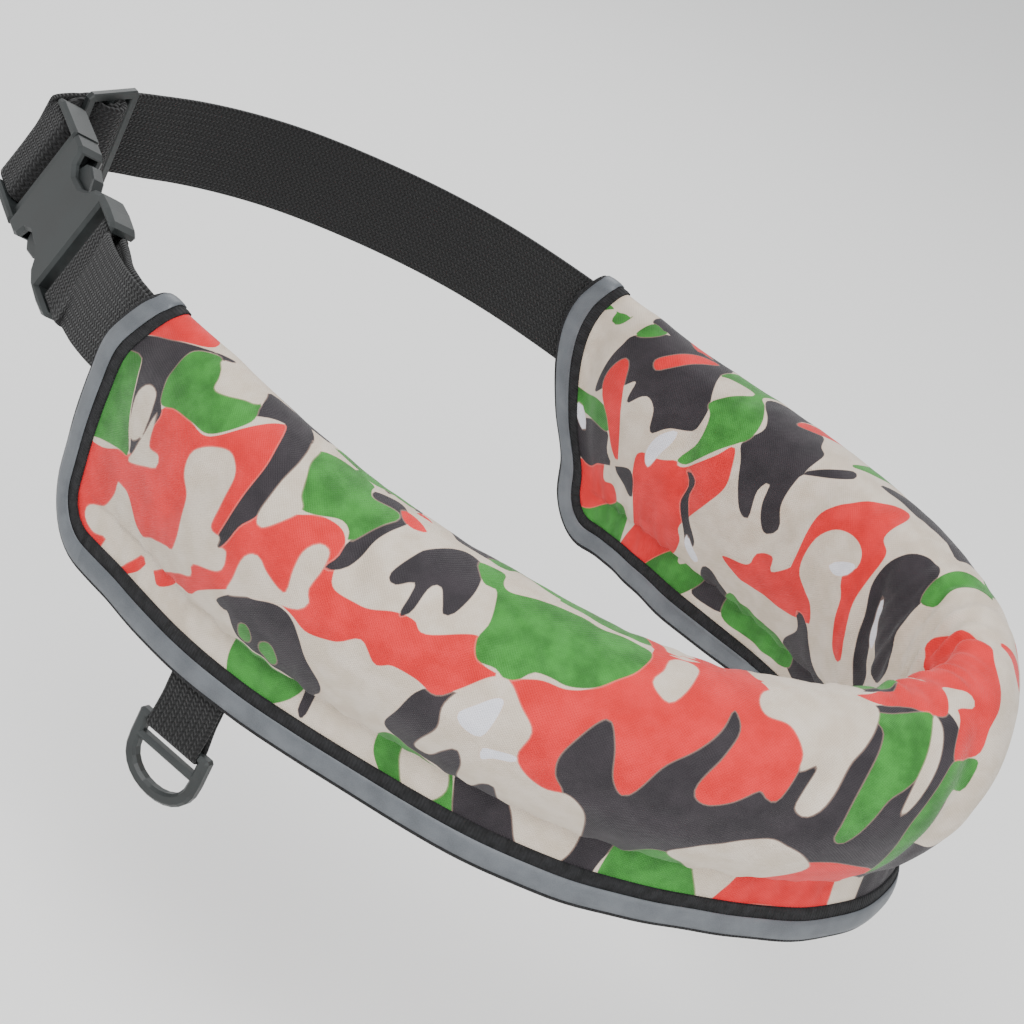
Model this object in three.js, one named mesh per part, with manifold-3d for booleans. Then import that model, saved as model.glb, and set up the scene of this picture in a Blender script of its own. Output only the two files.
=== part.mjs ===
// Belt-worn inflatable pack: a camouflage cloth cover stuffed with its folded bladder, bent round
// the waist, with a webbing belt, a side-release buckle, a strap slider and a hanging ring.
// Millimetres, +Z up. The origin is the centre of the waist opening at the middle of the pack's
// height, the pack's bend lies towards -Y and the buckle towards +Y.
import * as THREE from 'three';
import { mergeVertices } from 'three/addons/utils/BufferGeometryUtils.js';
import Module from 'manifold-3d';

const wasm = await Module();
wasm.setup();

// Driving dimensions of the whole belt
const loop_length = 450;
const loop_width = 250;
const pack_length = 642;
const pack_height = 108;
const pack_depth = 50;
const cloth_thickness = 1.6;
const hem_height = 27;
const hem_gap = 2.4;
const corner_radius = 26;
const end_reach = 100;
const gap = 0.3;

// Edge trim of the cover
const binding_width = 14;
const binding_thickness = 0.9;
const strip_width = 8;
const strip_inset = 1.2;
const strip_thickness = 0.5;

// Webbing belt, and how far its ends reach into the cover
const webbing_width = 40;
const webbing_thickness = 2.4;
const webbing_fit = 0.5;
const belt_height = 28;
const near_pocket_depth = 70;
const far_pocket_depth = 95;

// Side-release buckle: the plug's rails, then the socket's shield and the ears of its bar
const plug_length = 27;
const shield_length = 46;
const ear_length = 17;
const buckle_depth = 12;
const rail_width = 4;
const bar_width = 5;
const bar_depth = 4;
const plug_bar_width = 9;
const slot_length = 7;
const prong_width = 5.5;
const prong_reach = 34;
const prong_depth = 5.6;
const prong_fit = 0.4;
const button_reach = 3.5;
const window_inset = 11;
const window_length = 23;
const base_reach = 6;

// Strap slider
const slider_length = 27;
const slider_rail = 4;
const slider_depth = 3;

// Hanging ring and its strap
const ring_place = 0.154;
const ring_webbing_width = 25;
const ring_webbing_thickness = 1.6;
const ring_drop = 22;
const ring_tuck = 20;
const ring_wire = 4.8;
const ring_bar = 3.2;
const ring_slot = 5;
const ring_eye = 12;

// The belt's line seen from above, once round, as shares of loop_width and loop_length. Lean is
// how far the belt's lower edge stands out for each millimetre of height, and lift how far the
// webbing lies above its level, as a share of its width.
const route_rows = [
  { across: -0.342, along: 0.212, lean: 0.04, lift: 0.00 },
  { across: -0.376, along: 0.100, lean: 0.09, lift: 0.00 },
  { across: -0.384, along: -0.040, lean: 0.14, lift: 0.00 },
  { across: -0.340, along: -0.165, lean: 0.15, lift: 0.00 },
  { across: -0.262, along: -0.280, lean: 0.15, lift: 0.00 },
  { across: -0.150, along: -0.365, lean: 0.14, lift: 0.00 },
  { across: 0.010, along: -0.435, lean: 0.12, lift: 0.00 },
  { across: 0.170, along: -0.455, lean: 0.10, lift: 0.00 },
  { across: 0.310, along: -0.425, lean: 0.06, lift: 0.00 },
  { across: 0.400, along: -0.345, lean: 0.04, lift: 0.00 },
  { across: 0.455, along: -0.240, lean: 0.04, lift: 0.00 },
  { across: 0.485, along: -0.120, lean: 0.02, lift: 0.00 },
  { across: 0.495, along: -0.020, lean: 0.00, lift: 0.00 },
  { across: 0.515, along: 0.080, lean: 0.00, lift: 0.00 },
  { across: 0.500, along: 0.200, lean: 0.00, lift: 0.00 },
  { across: 0.440, along: 0.300, lean: 0.00, lift: 0.00 },
  { across: 0.340, along: 0.390, lean: 0.00, lift: 0.00 },
  { across: 0.200, along: 0.452, lean: 0.04, lift: 0.00 },
  { across: 0.050, along: 0.478, lean: 0.12, lift: 0.00 },
  { across: -0.074, along: 0.469, lean: 0.28, lift: -0.04 },
  { across: -0.152, along: 0.391, lean: 0.34, lift: -0.12 },
  { across: -0.230, along: 0.313, lean: 0.26, lift: -0.18 },
];
const near_end_row = 0;
const slider_row = 18;
const buckle_row = 20;

// The stuffed body from the near end (0) to the far end (1): how far the front and back faces
// stand out of the belt's line as shares of pack_depth, and how much higher than the ends the
// top is as a share of pack_height.
const section_rows = [
  { at: 0.000, front: 0.00, back: 0.00, rise: 0.000 },
  { at: 0.028, front: 0.00, back: 0.00, rise: 0.000 },
  { at: 0.060, front: 0.14, back: 0.10, rise: -0.010 },
  { at: 0.120, front: 0.34, back: 0.26, rise: -0.040 },
  { at: 0.200, front: 0.44, back: 0.36, rise: -0.080 },
  { at: 0.300, front: 0.48, back: 0.42, rise: -0.110 },
  { at: 0.400, front: 0.50, back: 0.44, rise: -0.125 },
  { at: 0.500, front: 0.47, back: 0.40, rise: -0.090 },
  { at: 0.580, front: 0.42, back: 0.30, rise: -0.040 },
  { at: 0.640, front: 0.42, back: 0.28, rise: 0.000 },
  { at: 0.720, front: 0.52, back: 0.38, rise: 0.025 },
  { at: 0.820, front: 0.50, back: 0.40, rise: 0.010 },
  { at: 0.900, front: 0.34, back: 0.34, rise: -0.010 },
  { at: 0.950, front: 0.14, back: 0.14, rise: 0.000 },
  { at: 0.972, front: 0.00, back: 0.00, rise: 0.000 },
  { at: 1.000, front: 0.00, back: 0.00, rise: 0.000 },
];

// Dents and folds of the stuffed body, as valleys across it: place along the pack and height on
// the face (shares), half length and half width as shares of pack_height, the lean of the
// valley from upright in degrees and its depth as a share of pack_depth.
const fold_rows = [
  { face: 1, at: 0.115, up: 0.62, reach: 0.26, half: 0.05, tilt: 30, deep: 0.06 },
  { face: 1, at: 0.210, up: 0.85, reach: 0.24, half: 0.05, tilt: -25, deep: 0.07 },
  { face: 1, at: 0.300, up: 0.80, reach: 0.26, half: 0.06, tilt: 35, deep: 0.07 },
  { face: 1, at: 0.390, up: 0.88, reach: 0.24, half: 0.05, tilt: -20, deep: 0.08 },
  { face: 1, at: 0.470, up: 0.78, reach: 0.24, half: 0.06, tilt: 28, deep: 0.07 },
  { face: 1, at: 0.545, up: 0.60, reach: 0.40, half: 0.07, tilt: 12, deep: 0.10 },
  { face: 1, at: 0.620, up: 0.45, reach: 0.30, half: 0.06, tilt: -18, deep: 0.07 },
  { face: 1, at: 0.720, up: 0.80, reach: 0.26, half: 0.06, tilt: 24, deep: 0.06 },
  { face: 1, at: 0.820, up: 0.70, reach: 0.26, half: 0.06, tilt: -30, deep: 0.06 },
  { face: -1, at: 0.870, up: 0.70, reach: 0.30, half: 0.06, tilt: 25, deep: 0.06 },
  { face: -1, at: 0.780, up: 0.80, reach: 0.30, half: 0.06, tilt: -20, deep: 0.08 },
  { face: -1, at: 0.690, up: 0.60, reach: 0.36, half: 0.06, tilt: 15, deep: 0.09 },
  { face: -1, at: 0.600, up: 0.60, reach: 0.50, half: 0.09, tilt: 0, deep: 0.16 },
  { face: -1, at: 0.520, up: 0.70, reach: 0.34, half: 0.06, tilt: -15, deep: 0.09 },
  { face: -1, at: 0.400, up: 0.70, reach: 0.30, half: 0.06, tilt: 20, deep: 0.07 },
  { face: -1, at: 0.260, up: 0.70, reach: 0.30, half: 0.06, tilt: -20, deep: 0.06 },
];

// Ripples of the hem and the wavy ends: place (share of the pack's length, or of its height from
// the bottom), and the shift as a share of hem_height.
const hem_wave_rows = [
  { at: 0.00, out: 0.00 },
  { at: 0.10, out: 0.05 },
  { at: 0.22, out: -0.06 },
  { at: 0.34, out: 0.04 },
  { at: 0.46, out: -0.03 },
  { at: 0.56, out: 0.08 },
  { at: 0.64, out: -0.06 },
  { at: 0.74, out: 0.10 },
  { at: 0.84, out: -0.10 },
  { at: 0.93, out: 0.16 },
  { at: 1.00, out: 0.00 },
];
const end_wave_rows = [
  { at: 0.00, near: 0.18, far: 1.05 },
  { at: 0.12, near: 0.12, far: 1.02 },
  { at: 0.27, near: 0.04, far: 0.90 },
  { at: 0.43, near: -0.04, far: 0.42 },
  { at: 0.60, near: -0.06, far: 0.06 },
  { at: 0.75, near: -0.02, far: -0.10 },
  { at: 0.88, near: 0.24, far: -0.06 },
  { at: 1.00, near: 0.55, far: 0.16 },
];

const route = new THREE.CatmullRomCurve3(
  route_rows.map((row) => new THREE.Vector3(row.across * loop_width, row.along * loop_length, 0)),
  true,
  'centripetal',
);
const route_steps = route_rows.length * 100;
route.arcLengthDivisions = route_steps;
const route_length = route.getLength();

// Length along the belt's line at a row of the route table
function length_at_row(row) {
  return route.getLengths()[Math.round((row / route_rows.length) * route_steps)];
}

// Smooth value between the rows of a table that starts at `at` 0 and ends at `at` 1
function between(rows, key, share) {
  const last = rows.length - 1;
  const place = THREE.MathUtils.clamp(share, 0, 1);
  let i = 0;
  while (i < last - 1 && rows[i + 1].at < place) i += 1;
  const a = rows[i];
  const b = rows[i + 1];
  const before = rows[Math.max(i - 1, 0)];
  const after = rows[Math.min(i + 2, last)];
  const span = b.at - a.at;
  const t = (place - a.at) / span;
  const slope_a = ((b[key] - before[key]) / (b.at - before.at)) * span;
  const slope_b = ((after[key] - a[key]) / (after.at - a.at)) * span;
  return (2 * t ** 3 - 3 * t ** 2 + 1) * a[key] + (t ** 3 - 2 * t ** 2 + t) * slope_a
    + (3 * t ** 2 - 2 * t ** 3) * b[key] + (t ** 3 - t ** 2) * slope_b;
}

const smooth = (share) => THREE.MathUtils.smoothstep(share, 0, 1);

const round_rows = [...route_rows, route_rows[0]].map((row, i) => (
  { at: i / route_rows.length, lean: row.lean, lift: row.lift }
));

// Point of the belt's line, the way along it and out of the loop, and its lean and level there
function line_at(s) {
  const share = THREE.MathUtils.euclideanModulo(s / route_length, 1);
  const t = route.getUtoTmapping(share);
  const along = route.getTangent(t);
  const out = new THREE.Vector3(along.y, -along.x, 0);
  const lean = between(round_rows, 'lean', t);
  const level = belt_height + between(round_rows, 'lift', t) * webbing_width;
  return { point: route.getPoint(t), along, out, lean, level };
}

// Places along and up the belt
const near_end = length_at_row(near_end_row);
const far_end = near_end + pack_length;
const ring_s = near_end + pack_length * ring_place;
const slider_s = length_at_row(slider_row);
const buckle_s = length_at_row(buckle_row);
const near_pocket_end = near_end + near_pocket_depth;
const far_pocket_end = far_end - far_pocket_depth;
const pocket_top = belt_height + webbing_width / 2 + 2 * webbing_fit;
const pocket_foot = belt_height - webbing_width / 2 - 2 * webbing_fit;
const end_top = pocket_top + 2 * cloth_thickness;
const pack_bottom = end_top - pack_height;
const hem_line = pack_bottom + hem_height;

// A place of the cover: s along the belt, h up, n outwards from the belt's line
function place(s, h, n) {
  const up = (h - pack_bottom) / pack_height;
  const at = (s - near_end) / pack_length;
  const near_pull = smooth(1 - (s - near_end) / end_reach) * between(end_wave_rows, 'near', up);
  const far_pull = smooth(1 - (far_end - s) / end_reach) * between(end_wave_rows, 'far', up);
  const line = line_at(s + (near_pull - far_pull) * hem_height);
  const ripple = between(hem_wave_rows, 'out', at) * hem_height * smooth((hem_line - h) / hem_height);
  const shift = n + ripple + line.lean * (belt_height - h);
  return line.point.clone().addScaledVector(line.out, shift).setZ(h);
}

// Half the space between the faces at the hem: as wide as a belt's end at the pack's ends and as
// the ring's strap round it; and the same higher up, where the belt's ends lie
const near_half = webbing_thickness + gap / 2 + webbing_fit;
const far_half = webbing_thickness / 2 + webbing_fit;
function low_half(s) {
  const ring_half = ring_webbing_thickness + gap / 2 + webbing_fit;
  const away = (Math.abs(s - ring_s) - ring_webbing_width * 0.6) / ring_webbing_width;
  const middle = THREE.MathUtils.lerp(ring_half, hem_gap / 2, smooth(away));
  const near = smooth(1 - (s - near_end) / corner_radius / 2);
  const far = smooth(1 - (far_end - s) / corner_radius / 2);
  return middle + (near_half - middle) * near + (far_half - middle) * far;
}
function high_half(s) {
  return THREE.MathUtils.lerp(near_half, far_half, smooth((s - near_end) / pack_length));
}

// How far a face is drawn in by the folds
function fold_depth(face, s, h) {
  let depth = 0;
  for (const row of fold_rows) {
    if (row.face !== face) continue;
    const turn = THREE.MathUtils.degToRad(row.tilt);
    const ds = s - (near_end + row.at * pack_length);
    const dh = h - (pack_bottom + row.up * pack_height);
    const across = (ds * Math.cos(turn) - dh * Math.sin(turn)) / (row.half * pack_height);
    const down = (ds * Math.sin(turn) + dh * Math.cos(turn)) / (row.reach * pack_height);
    depth += row.deep * pack_depth * Math.exp(-(across ** 2)) * smooth(1.4 - Math.abs(down));
  }
  return depth;
}

// Section of the cover at s: a chain of [h, n] over the outside from the front hem's lower edge,
// over the top and down to the back hem's, and a chain back through the slot between the faces.
// The slot is a pocket for a belt's end where kind is near or far, and else ends above the hem.
const body_steps = 13;
function cover_section(s, kind) {
  const at = (s - near_end) / pack_length;
  const inside = Math.min(s - near_end, far_end - s, corner_radius);
  const low = pack_bottom + corner_radius - Math.sqrt(corner_radius ** 2 - (corner_radius - inside) ** 2);
  const foot = Math.max(hem_line, low + 1);
  const top = end_top + between(section_rows, 'rise', at) * pack_height;
  const front = Math.max(between(section_rows, 'front', at), 0) * pack_depth;
  const back = Math.max(between(section_rows, 'back', at), 0) * pack_depth;
  const rounding = Math.min((high_half(s) + cloth_thickness) / (top - foot), 0.5);
  const face = (side, v) => {
    const flat = Math.sqrt(1 - Math.max((v - 1 + rounding) / rounding, 0) ** 2);
    const half = THREE.MathUtils.lerp(low_half(s), high_half(s), smooth(v / 0.35)) + cloth_thickness;
    const full = 2 * Math.sqrt(v * (1 - v)) * (1 - 0.4 * (1 - v) ** 2);
    const reach = side > 0 ? front : back;
    const h = foot + (top - foot) * v;
    const fold = fold_depth(side, s, h) * Math.min(1, reach / (0.3 * pack_depth)) * full;
    return [h, side * (half * flat + reach * full - fold)];
  };
  const hem = low_half(s);
  const under_binding = [0, binding_width / 2, binding_width].map((into) => (
    low + (foot - low) * (into / hem_height)
  ));
  const outside = under_binding.map((h) => [h, hem + cloth_thickness]);
  for (let i = 0; i < body_steps; i += 1) {
    outside.push(face(1, (1 - Math.cos((Math.PI * i) / body_steps)) / 2));
  }
  outside.push([top, 0]);
  for (let i = body_steps - 1; i >= 0; i -= 1) {
    outside.push(face(-1, (1 - Math.cos((Math.PI * i) / body_steps)) / 2));
  }
  outside.push(...under_binding.toReversed().map((h) => [h, -hem - cloth_thickness]));
  const pocket = kind === 'near' ? near_half : far_half;
  const body_top = Math.max(hem_line - cloth_thickness, low + 2);
  const side_of_slot = kind === 'body'
    ? [[low, hem], [(low + body_top) / 2, hem], [body_top - gap, hem], [body_top, hem]]
    : [[low, hem], [foot, hem], [pocket_foot, pocket], [pocket_top, pocket]];
  const slot = [...side_of_slot.map(([h, n]) => [h, -n]), ...side_of_slot.toReversed()];
  return { outside, slot };
}

// Even stations between the corners, where both the cover and its edge trim have their sections
const even_steps = Math.round((pack_length - 2 * corner_radius) / 13);
const even_stations = [];
for (let i = 0; i <= even_steps; i += 1) {
  even_stations.push(near_end + corner_radius + ((pack_length - 2 * corner_radius) * i) / even_steps);
}

// Stations of the cover: close together at the corners, and two at the bottom of each pocket
function cover_stations() {
  const corner_steps = [0, 0.06, 0.18, 0.36, 0.62];
  const stations = corner_steps.map((step) => ({ s: near_end + step * corner_radius, kind: 'near' }));
  for (const s of even_stations) {
    const kind = s < near_pocket_end - 3 ? 'near' : s > far_pocket_end + 3 ? 'far' : 'body';
    const beside_pocket = Math.min(Math.abs(s - near_pocket_end), Math.abs(s - far_pocket_end)) < 3;
    if (!beside_pocket) stations.push({ s, kind });
  }
  for (const step of corner_steps.toReversed()) {
    stations.push({ s: far_end - step * corner_radius, kind: 'far' });
  }
  const pockets = [
    { s: near_pocket_end, kind: 'near' }, { s: near_pocket_end + gap, kind: 'body' },
    { s: far_pocket_end - gap, kind: 'body' }, { s: far_pocket_end, kind: 'far' },
  ];
  return [...stations, ...pockets].sort((one, other) => one.s - other.s);
}

// Closed body from rings of equal length, with each end filled in by its own list of triangles
function body_from_rings(rings, first_cap, last_cap, closed = false) {
  const count = rings[0].length;
  const points = rings.flat();
  const faces = [];
  const turns = closed ? rings.length : rings.length - 1;
  for (let i = 0; i < turns; i += 1) {
    const here = i * count;
    const next = ((i + 1) % rings.length) * count;
    for (let j = 0; j < count; j += 1) {
      const k = (j + 1) % count;
      faces.push([here + j, here + k, next + k], [here + j, next + k, next + j]);
    }
  }
  if (!closed) {
    const last = (rings.length - 1) * count;
    for (const [a, b, c] of first_cap) faces.push([a, c, b]);
    for (const [a, b, c] of last_cap) faces.push([last + a, last + b, last + c]);
  }
  return geometry_from(points, faces);
}

// Geometry from shared points and triangles, turned so that its faces point out
function geometry_from(points, faces) {
  let volume = 0;
  for (const [a, b, c] of faces) {
    volume += points[a].dot(new THREE.Vector3().crossVectors(points[b], points[c]));
  }
  const index = faces.flatMap(([a, b, c]) => (volume < 0 ? [a, c, b] : [a, b, c]));
  const geometry = new THREE.BufferGeometry().setFromPoints(points);
  geometry.setIndex(index);
  return geometry;
}

// Triangles between two chains of a ring, the first from 0 and the second back from the last
function zip_cap(first, second) {
  const total = first + second;
  const faces = [];
  let a = 0;
  let b = 0;
  while (a < first - 1 || b < second - 1) {
    const other = total - 1 - b;
    if (b === second - 1 || (a < first - 1 && a / (first - 1) <= b / (second - 1))) {
      faces.push([a, a + 1, other]);
      a += 1;
    } else {
      faces.push([a, other - 1, other]);
      b += 1;
    }
  }
  return faces;
}

function pack_cover() {
  const rings = [];
  let outside_count = 0;
  let slot_count = 0;
  for (const station of cover_stations()) {
    const section = cover_section(station.s, station.kind);
    outside_count = section.outside.length;
    slot_count = section.slot.length;
    rings.push([...section.outside, ...section.slot].map(([h, n]) => place(station.s, h, n)));
  }
  const cap = zip_cap(outside_count, slot_count);
  return body_from_rings(rings, cap, cap);
}

// Once round the cover's edge: up the near end's front, over its top, down its back, along the
// back hem, round the far end in the same way and back along the front hem. Each station has its
// place, the way into the cloth and the way out of its face.
function edge_stations() {
  const quarter = 5;
  const upright_steps = 6;
  const end_face = (end, side) => {
    const s = end < 0 ? near_end : far_end;
    const half = high_half(s) + cloth_thickness;
    const list = [];
    for (let i = 0; i < quarter; i += 1) {
      const turn = (Math.PI / 2) * (i / quarter);
      const corner_s = s - end * corner_radius * (1 - Math.sin(turn));
      list.push({
        s: corner_s,
        h: pack_bottom + corner_radius * (1 - Math.cos(turn)),
        n: side * (low_half(corner_s) + cloth_thickness),
        into: [-end * Math.sin(turn), Math.cos(turn)],
        face: [0, side],
      });
    }
    const straight = end_top - half - pack_bottom - corner_radius;
    for (let i = 0; i <= upright_steps; i += 1) {
      const h = pack_bottom + corner_radius + (straight * i) / upright_steps;
      list.push({ s, h, n: side * half, into: [-end, 0], face: [0, side] });
    }
    for (let i = 1; i < 3; i += 1) {
      const turn = (Math.PI / 2) * (i / 3);
      const away = [Math.sin(turn), side * Math.cos(turn)];
      list.push({
        s, h: end_top - half + half * away[0], n: half * away[1], into: [-end, 0], face: away,
      });
    }
    return list;
  };
  const over_top = (end) => ({
    s: end < 0 ? near_end : far_end, h: end_top, n: 0, into: [-end, 0], face: [1, 0],
  });
  const hem = (side) => even_stations.map((s) => (
    { s, h: pack_bottom, n: side * (low_half(s) + cloth_thickness), into: [0, 1], face: [0, side] }
  ));
  const end_loop = (end) => [
    ...end_face(end, 1).slice(1), over_top(end), ...end_face(end, -1).slice(1).reverse(),
  ];
  return [...end_loop(-1), ...hem(-1), ...end_loop(1).reverse(), ...hem(1).reverse()];
}

// Band that lies on the cover's edge from `from` to `to` into the cloth, `low` to `high` off it
function edge_band(from, to, low, high) {
  const middle = (from + to) / 2;
  const rings = edge_stations().map((station) => {
    const corner = (into, off) => place(
      station.s + station.into[0] * into,
      station.h + station.into[1] * into + station.face[0] * off,
      station.n + station.face[1] * off,
    );
    return [
      corner(from, low), corner(middle, low), corner(to, low),
      corner(to, high), corner(middle, high), corner(from, high),
    ];
  });
  return body_from_rings(rings, [], [], true);
}

// Flat webbing through a list of { centre, across } stations: `across` runs along its width
function webbing(stations, width, thickness, fine) {
  const curve = new THREE.CatmullRomCurve3(stations.map((station) => station.centre), false, 'centripetal');
  const rings = [];
  const spans = stations.length - 1;
  for (let i = 0; i <= spans * fine; i += 1) {
    const t = i / (spans * fine);
    const row = Math.min(Math.floor(i / fine), spans - 1);
    const across = stations[row].across.clone().lerp(stations[row + 1].across, i / fine - row);
    const along = curve.getTangent(t);
    across.addScaledVector(along, -across.dot(along)).normalize();
    const out = new THREE.Vector3().crossVectors(along, across);
    const centre = curve.getPoint(t);
    const corner = (x, y) => (
      centre.clone().addScaledVector(across, x * width / 2).addScaledVector(out, y * thickness / 2)
    );
    rings.push([corner(-1, -1), corner(1, -1), corner(1, 1), corner(-1, 1)]);
  }
  const cap = [[0, 1, 2], [0, 2, 3]];
  return body_from_rings(rings, cap, cap);
}

// A frame on the belt's line: x along it, y out of the loop and z down the webbing
function belt_frame(s) {
  const line = line_at(s);
  const centre = line.point.clone().setZ(line.level);
  const slope = (line_at(s + 1).level - line_at(s - 1).level) / 2;
  const along = line.along.clone().setZ(slope).normalize();
  const up = new THREE.Vector3(0, 0, 1).addScaledVector(line.out, -line.lean);
  up.addScaledVector(along, -up.dot(along)).normalize();
  const out = new THREE.Vector3().crossVectors(along, up);
  return new THREE.Matrix4().makeBasis(along, out, up.negate()).setPosition(centre);
}

// Station of a webbing in a frame: x along the belt and y out of it
function station_in(frame, x, y) {
  const across = new THREE.Vector3().setFromMatrixColumn(frame, 2);
  return { centre: new THREE.Vector3(x, y, 0).applyMatrix4(frame), across };
}

// The buckle's frame, with the places of its parts along it
const buckle_frame = belt_frame(buckle_s);
const buckle_length = plug_length + shield_length + ear_length;
const plug_start = -buckle_length / 2;
const mouth = plug_start + plug_length;
const shield_end = mouth + shield_length;
const socket_bar_start = shield_end + slot_length;
const socket_bar_end = socket_bar_start + bar_width;
const ear_end = shield_end + ear_length;
const plug_bar_start = plug_start + 3;
const plug_bar_end = plug_bar_start + plug_bar_width;
const buckle_half = webbing_width / 2 + webbing_fit + rail_width;
const wrap = bar_depth / 2 + gap + webbing_thickness / 2;

// The slider's frame stands off the belt's line, so that the belt runs straight past its rails
const slider_frame = belt_frame(slider_s);
const rail_pass = slider_depth / 2 + gap + webbing_thickness / 2;
slider_frame.multiply(new THREE.Matrix4().makeTranslation(0, -rail_pass, 0));
const loop_radius = slider_depth / 2 + gap + webbing_thickness / 2;
const layer = webbing_thickness + gap;

// The long belt: from the far pocket through the slider, round the plug's bar and back to the
// slider's middle bar, where it ends
function main_belt() {
  const stations = [];
  const start = far_pocket_end + 1;
  const stop = slider_s - slider_length * 1.2;
  const steps = Math.round((stop - start) / 13);
  for (let i = 0; i <= steps; i += 1) {
    stations.push(station_in(belt_frame(start + ((stop - start) * i) / steps), 0, 0));
  }
  const rail = (slider_length - slider_rail) / 2;
  const corner = rail - slider_rail * 0.7;
  const under = loop_radius + layer;
  const running = [
    [-rail - slider_rail, rail_pass], [-rail, rail_pass], [-corner, rail_pass],
    [-under - 0.8, 0.3], [-under * 0.87, -under * 0.6], [0, -under],
    [under * 0.87, -under * 0.6], [under + 0.8, 0.3],
    [corner, rail_pass], [rail, rail_pass], [rail + slider_rail, rail_pass],
  ];
  for (const [x, y] of running) stations.push(station_in(slider_frame, x, y));
  const bar_x = plug_bar_end + gap + webbing_thickness / 2;
  const round_plug_bar = [
    [plug_start - 2, -wrap * 1.3], [plug_bar_start + 2, -wrap], [plug_bar_end - 1, -wrap], [bar_x, -wrap / 2],
    [bar_x, wrap / 2], [plug_bar_end - 1, wrap], [plug_bar_start + 2, wrap], [plug_start - 5, wrap * 0.8],
  ];
  for (const [x, y] of round_plug_bar) stations.push(station_in(buckle_frame, x, y));
  const back = [
    [rail + slider_rail, rail_pass + layer + 0.6], [rail, rail_pass + layer], [corner - 1, rail_pass + layer],
    [loop_radius, loop_radius * 1.4],
  ];
  for (const [x, y] of back) stations.push(station_in(slider_frame, x, y));
  const round_middle_bar = 6;
  for (let i = 0; i < round_middle_bar; i += 1) {
    const turn = Math.PI / 2 + (Math.PI / 4) * i;
    stations.push(station_in(slider_frame, loop_radius * Math.cos(turn), loop_radius * Math.sin(turn)));
  }
  return webbing(stations, webbing_width, webbing_thickness, 2);
}

// The short belt: both layers out of the near pocket, joined round the socket's bar
function short_belt() {
  const start = near_pocket_end - 1 + route_length;
  const stop = buckle_s + buckle_length / 2 + 8;
  const steps = Math.round((start - stop) / 13);
  const layer_of = (side) => {
    const list = [];
    for (let i = 0; i <= steps; i += 1) {
      const s = start + ((stop - start) * i) / steps;
      const apart = THREE.MathUtils.lerp(layer / 2, wrap, smooth((near_end + route_length - s) / 40));
      list.push(station_in(belt_frame(s), 0, side * apart));
    }
    return list;
  };
  const bar_x = socket_bar_start - gap - webbing_thickness / 2;
  const round_bar = [
    [ear_end + 2, wrap], [socket_bar_end, wrap], [socket_bar_start + 1, wrap], [bar_x, wrap / 2],
    [bar_x, -wrap / 2], [socket_bar_start + 1, -wrap], [socket_bar_end, -wrap], [ear_end + 2, -wrap],
  ].map(([x, y]) => station_in(buckle_frame, x, y));
  const stations = [...layer_of(1), ...round_bar, ...layer_of(-1).reverse()];
  return webbing(stations, webbing_width, webbing_thickness, 2);
}

// A manifold solid from a closed geometry, and a geometry from a solid
function solid_from(geometry) {
  const bare = geometry.clone();
  bare.deleteAttribute('normal');
  bare.deleteAttribute('uv');
  const merged = mergeVertices(bare);
  const mesh = new wasm.Mesh({
    numProp: 3,
    vertProperties: new Float32Array(merged.attributes.position.array),
    triVerts: new Uint32Array(merged.index.array),
  });
  return new wasm.Manifold(mesh);
}
function geometry_of(solid) {
  const mesh = solid.getMesh();
  const geometry = new THREE.BufferGeometry();
  geometry.setAttribute('position', new THREE.BufferAttribute(mesh.vertProperties, 3));
  geometry.setIndex(new THREE.BufferAttribute(mesh.triVerts, 1));
  return geometry;
}

// A plate of the outline (x, z), `depth` thick about y = 0, its edges chamfered by `chamfer`
function plate(outline, depth, chamfer = 0, holes = []) {
  const corners = (list) => list.map(([x, z]) => new THREE.Vector2(x, z));
  const rim = corners(outline);
  if (THREE.ShapeUtils.isClockWise(rim)) rim.reverse();
  const shape = new THREE.Shape(rim);
  for (const hole of holes) shape.holes.push(new THREE.Path(corners(hole)));
  const options = {
    depth: depth - 2 * chamfer, steps: 1, curveSegments: 8, bevelEnabled: chamfer > 0,
    bevelThickness: chamfer, bevelSize: chamfer, bevelOffset: -chamfer, bevelSegments: 1,
  };
  const geometry = new THREE.ExtrudeGeometry(shape, options);
  return geometry.translate(0, 0, -(depth - 2 * chamfer) / 2).rotateX(Math.PI / 2);
}
const mirrored = (half_outline) => [
  ...half_outline, ...half_outline.toReversed().map(([x, z]) => [x, -z]),
];
const block = (x0, x1, z0, z1) => [[x0, z0], [x1, z0], [x1, z1], [x0, z1]];

// The socket: a shield hollow from its mouth, cut in at both sides for the plug's buttons, with
// two ears that hold the bar of the short belt
function buckle_socket() {
  const window_start = mouth + window_inset;
  const window_end = window_start + window_length;
  const waist = buckle_half * 0.6;
  const cavity_half = buckle_half - rail_width + 1;
  const outline = mirrored([
    [mouth, buckle_half - 1], [mouth + 8, buckle_half - 1], [window_start, buckle_half - 2.4],
    [window_start + 2, waist + 2.5], [window_start + 7, waist], [window_end - 7, waist + 0.6],
    [window_end - 1, waist + 3.5], [window_end + 2, buckle_half - 3], [shield_end - 4, buckle_half - 0.6],
    [shield_end + 5, buckle_half], [ear_end - 3, buckle_half - 0.4], [ear_end, buckle_half - 1.6],
    [ear_end, buckle_half - rail_width], [shield_end, buckle_half - rail_width],
  ]);
  const cavity_end = mouth + prong_reach;
  const cavity = plate(block(mouth - 1, cavity_end, -cavity_half, cavity_half), prong_depth + 2 * prong_fit);
  const bar_reach = buckle_half - 2;
  const bar = plate(block(socket_bar_start, socket_bar_end, -bar_reach, bar_reach), bar_depth, 1);
  const shield = solid_from(plate(outline, buckle_depth, rail_width / 3)).subtract(solid_from(cavity));
  return geometry_of(shield.add(solid_from(bar)));
}

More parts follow.
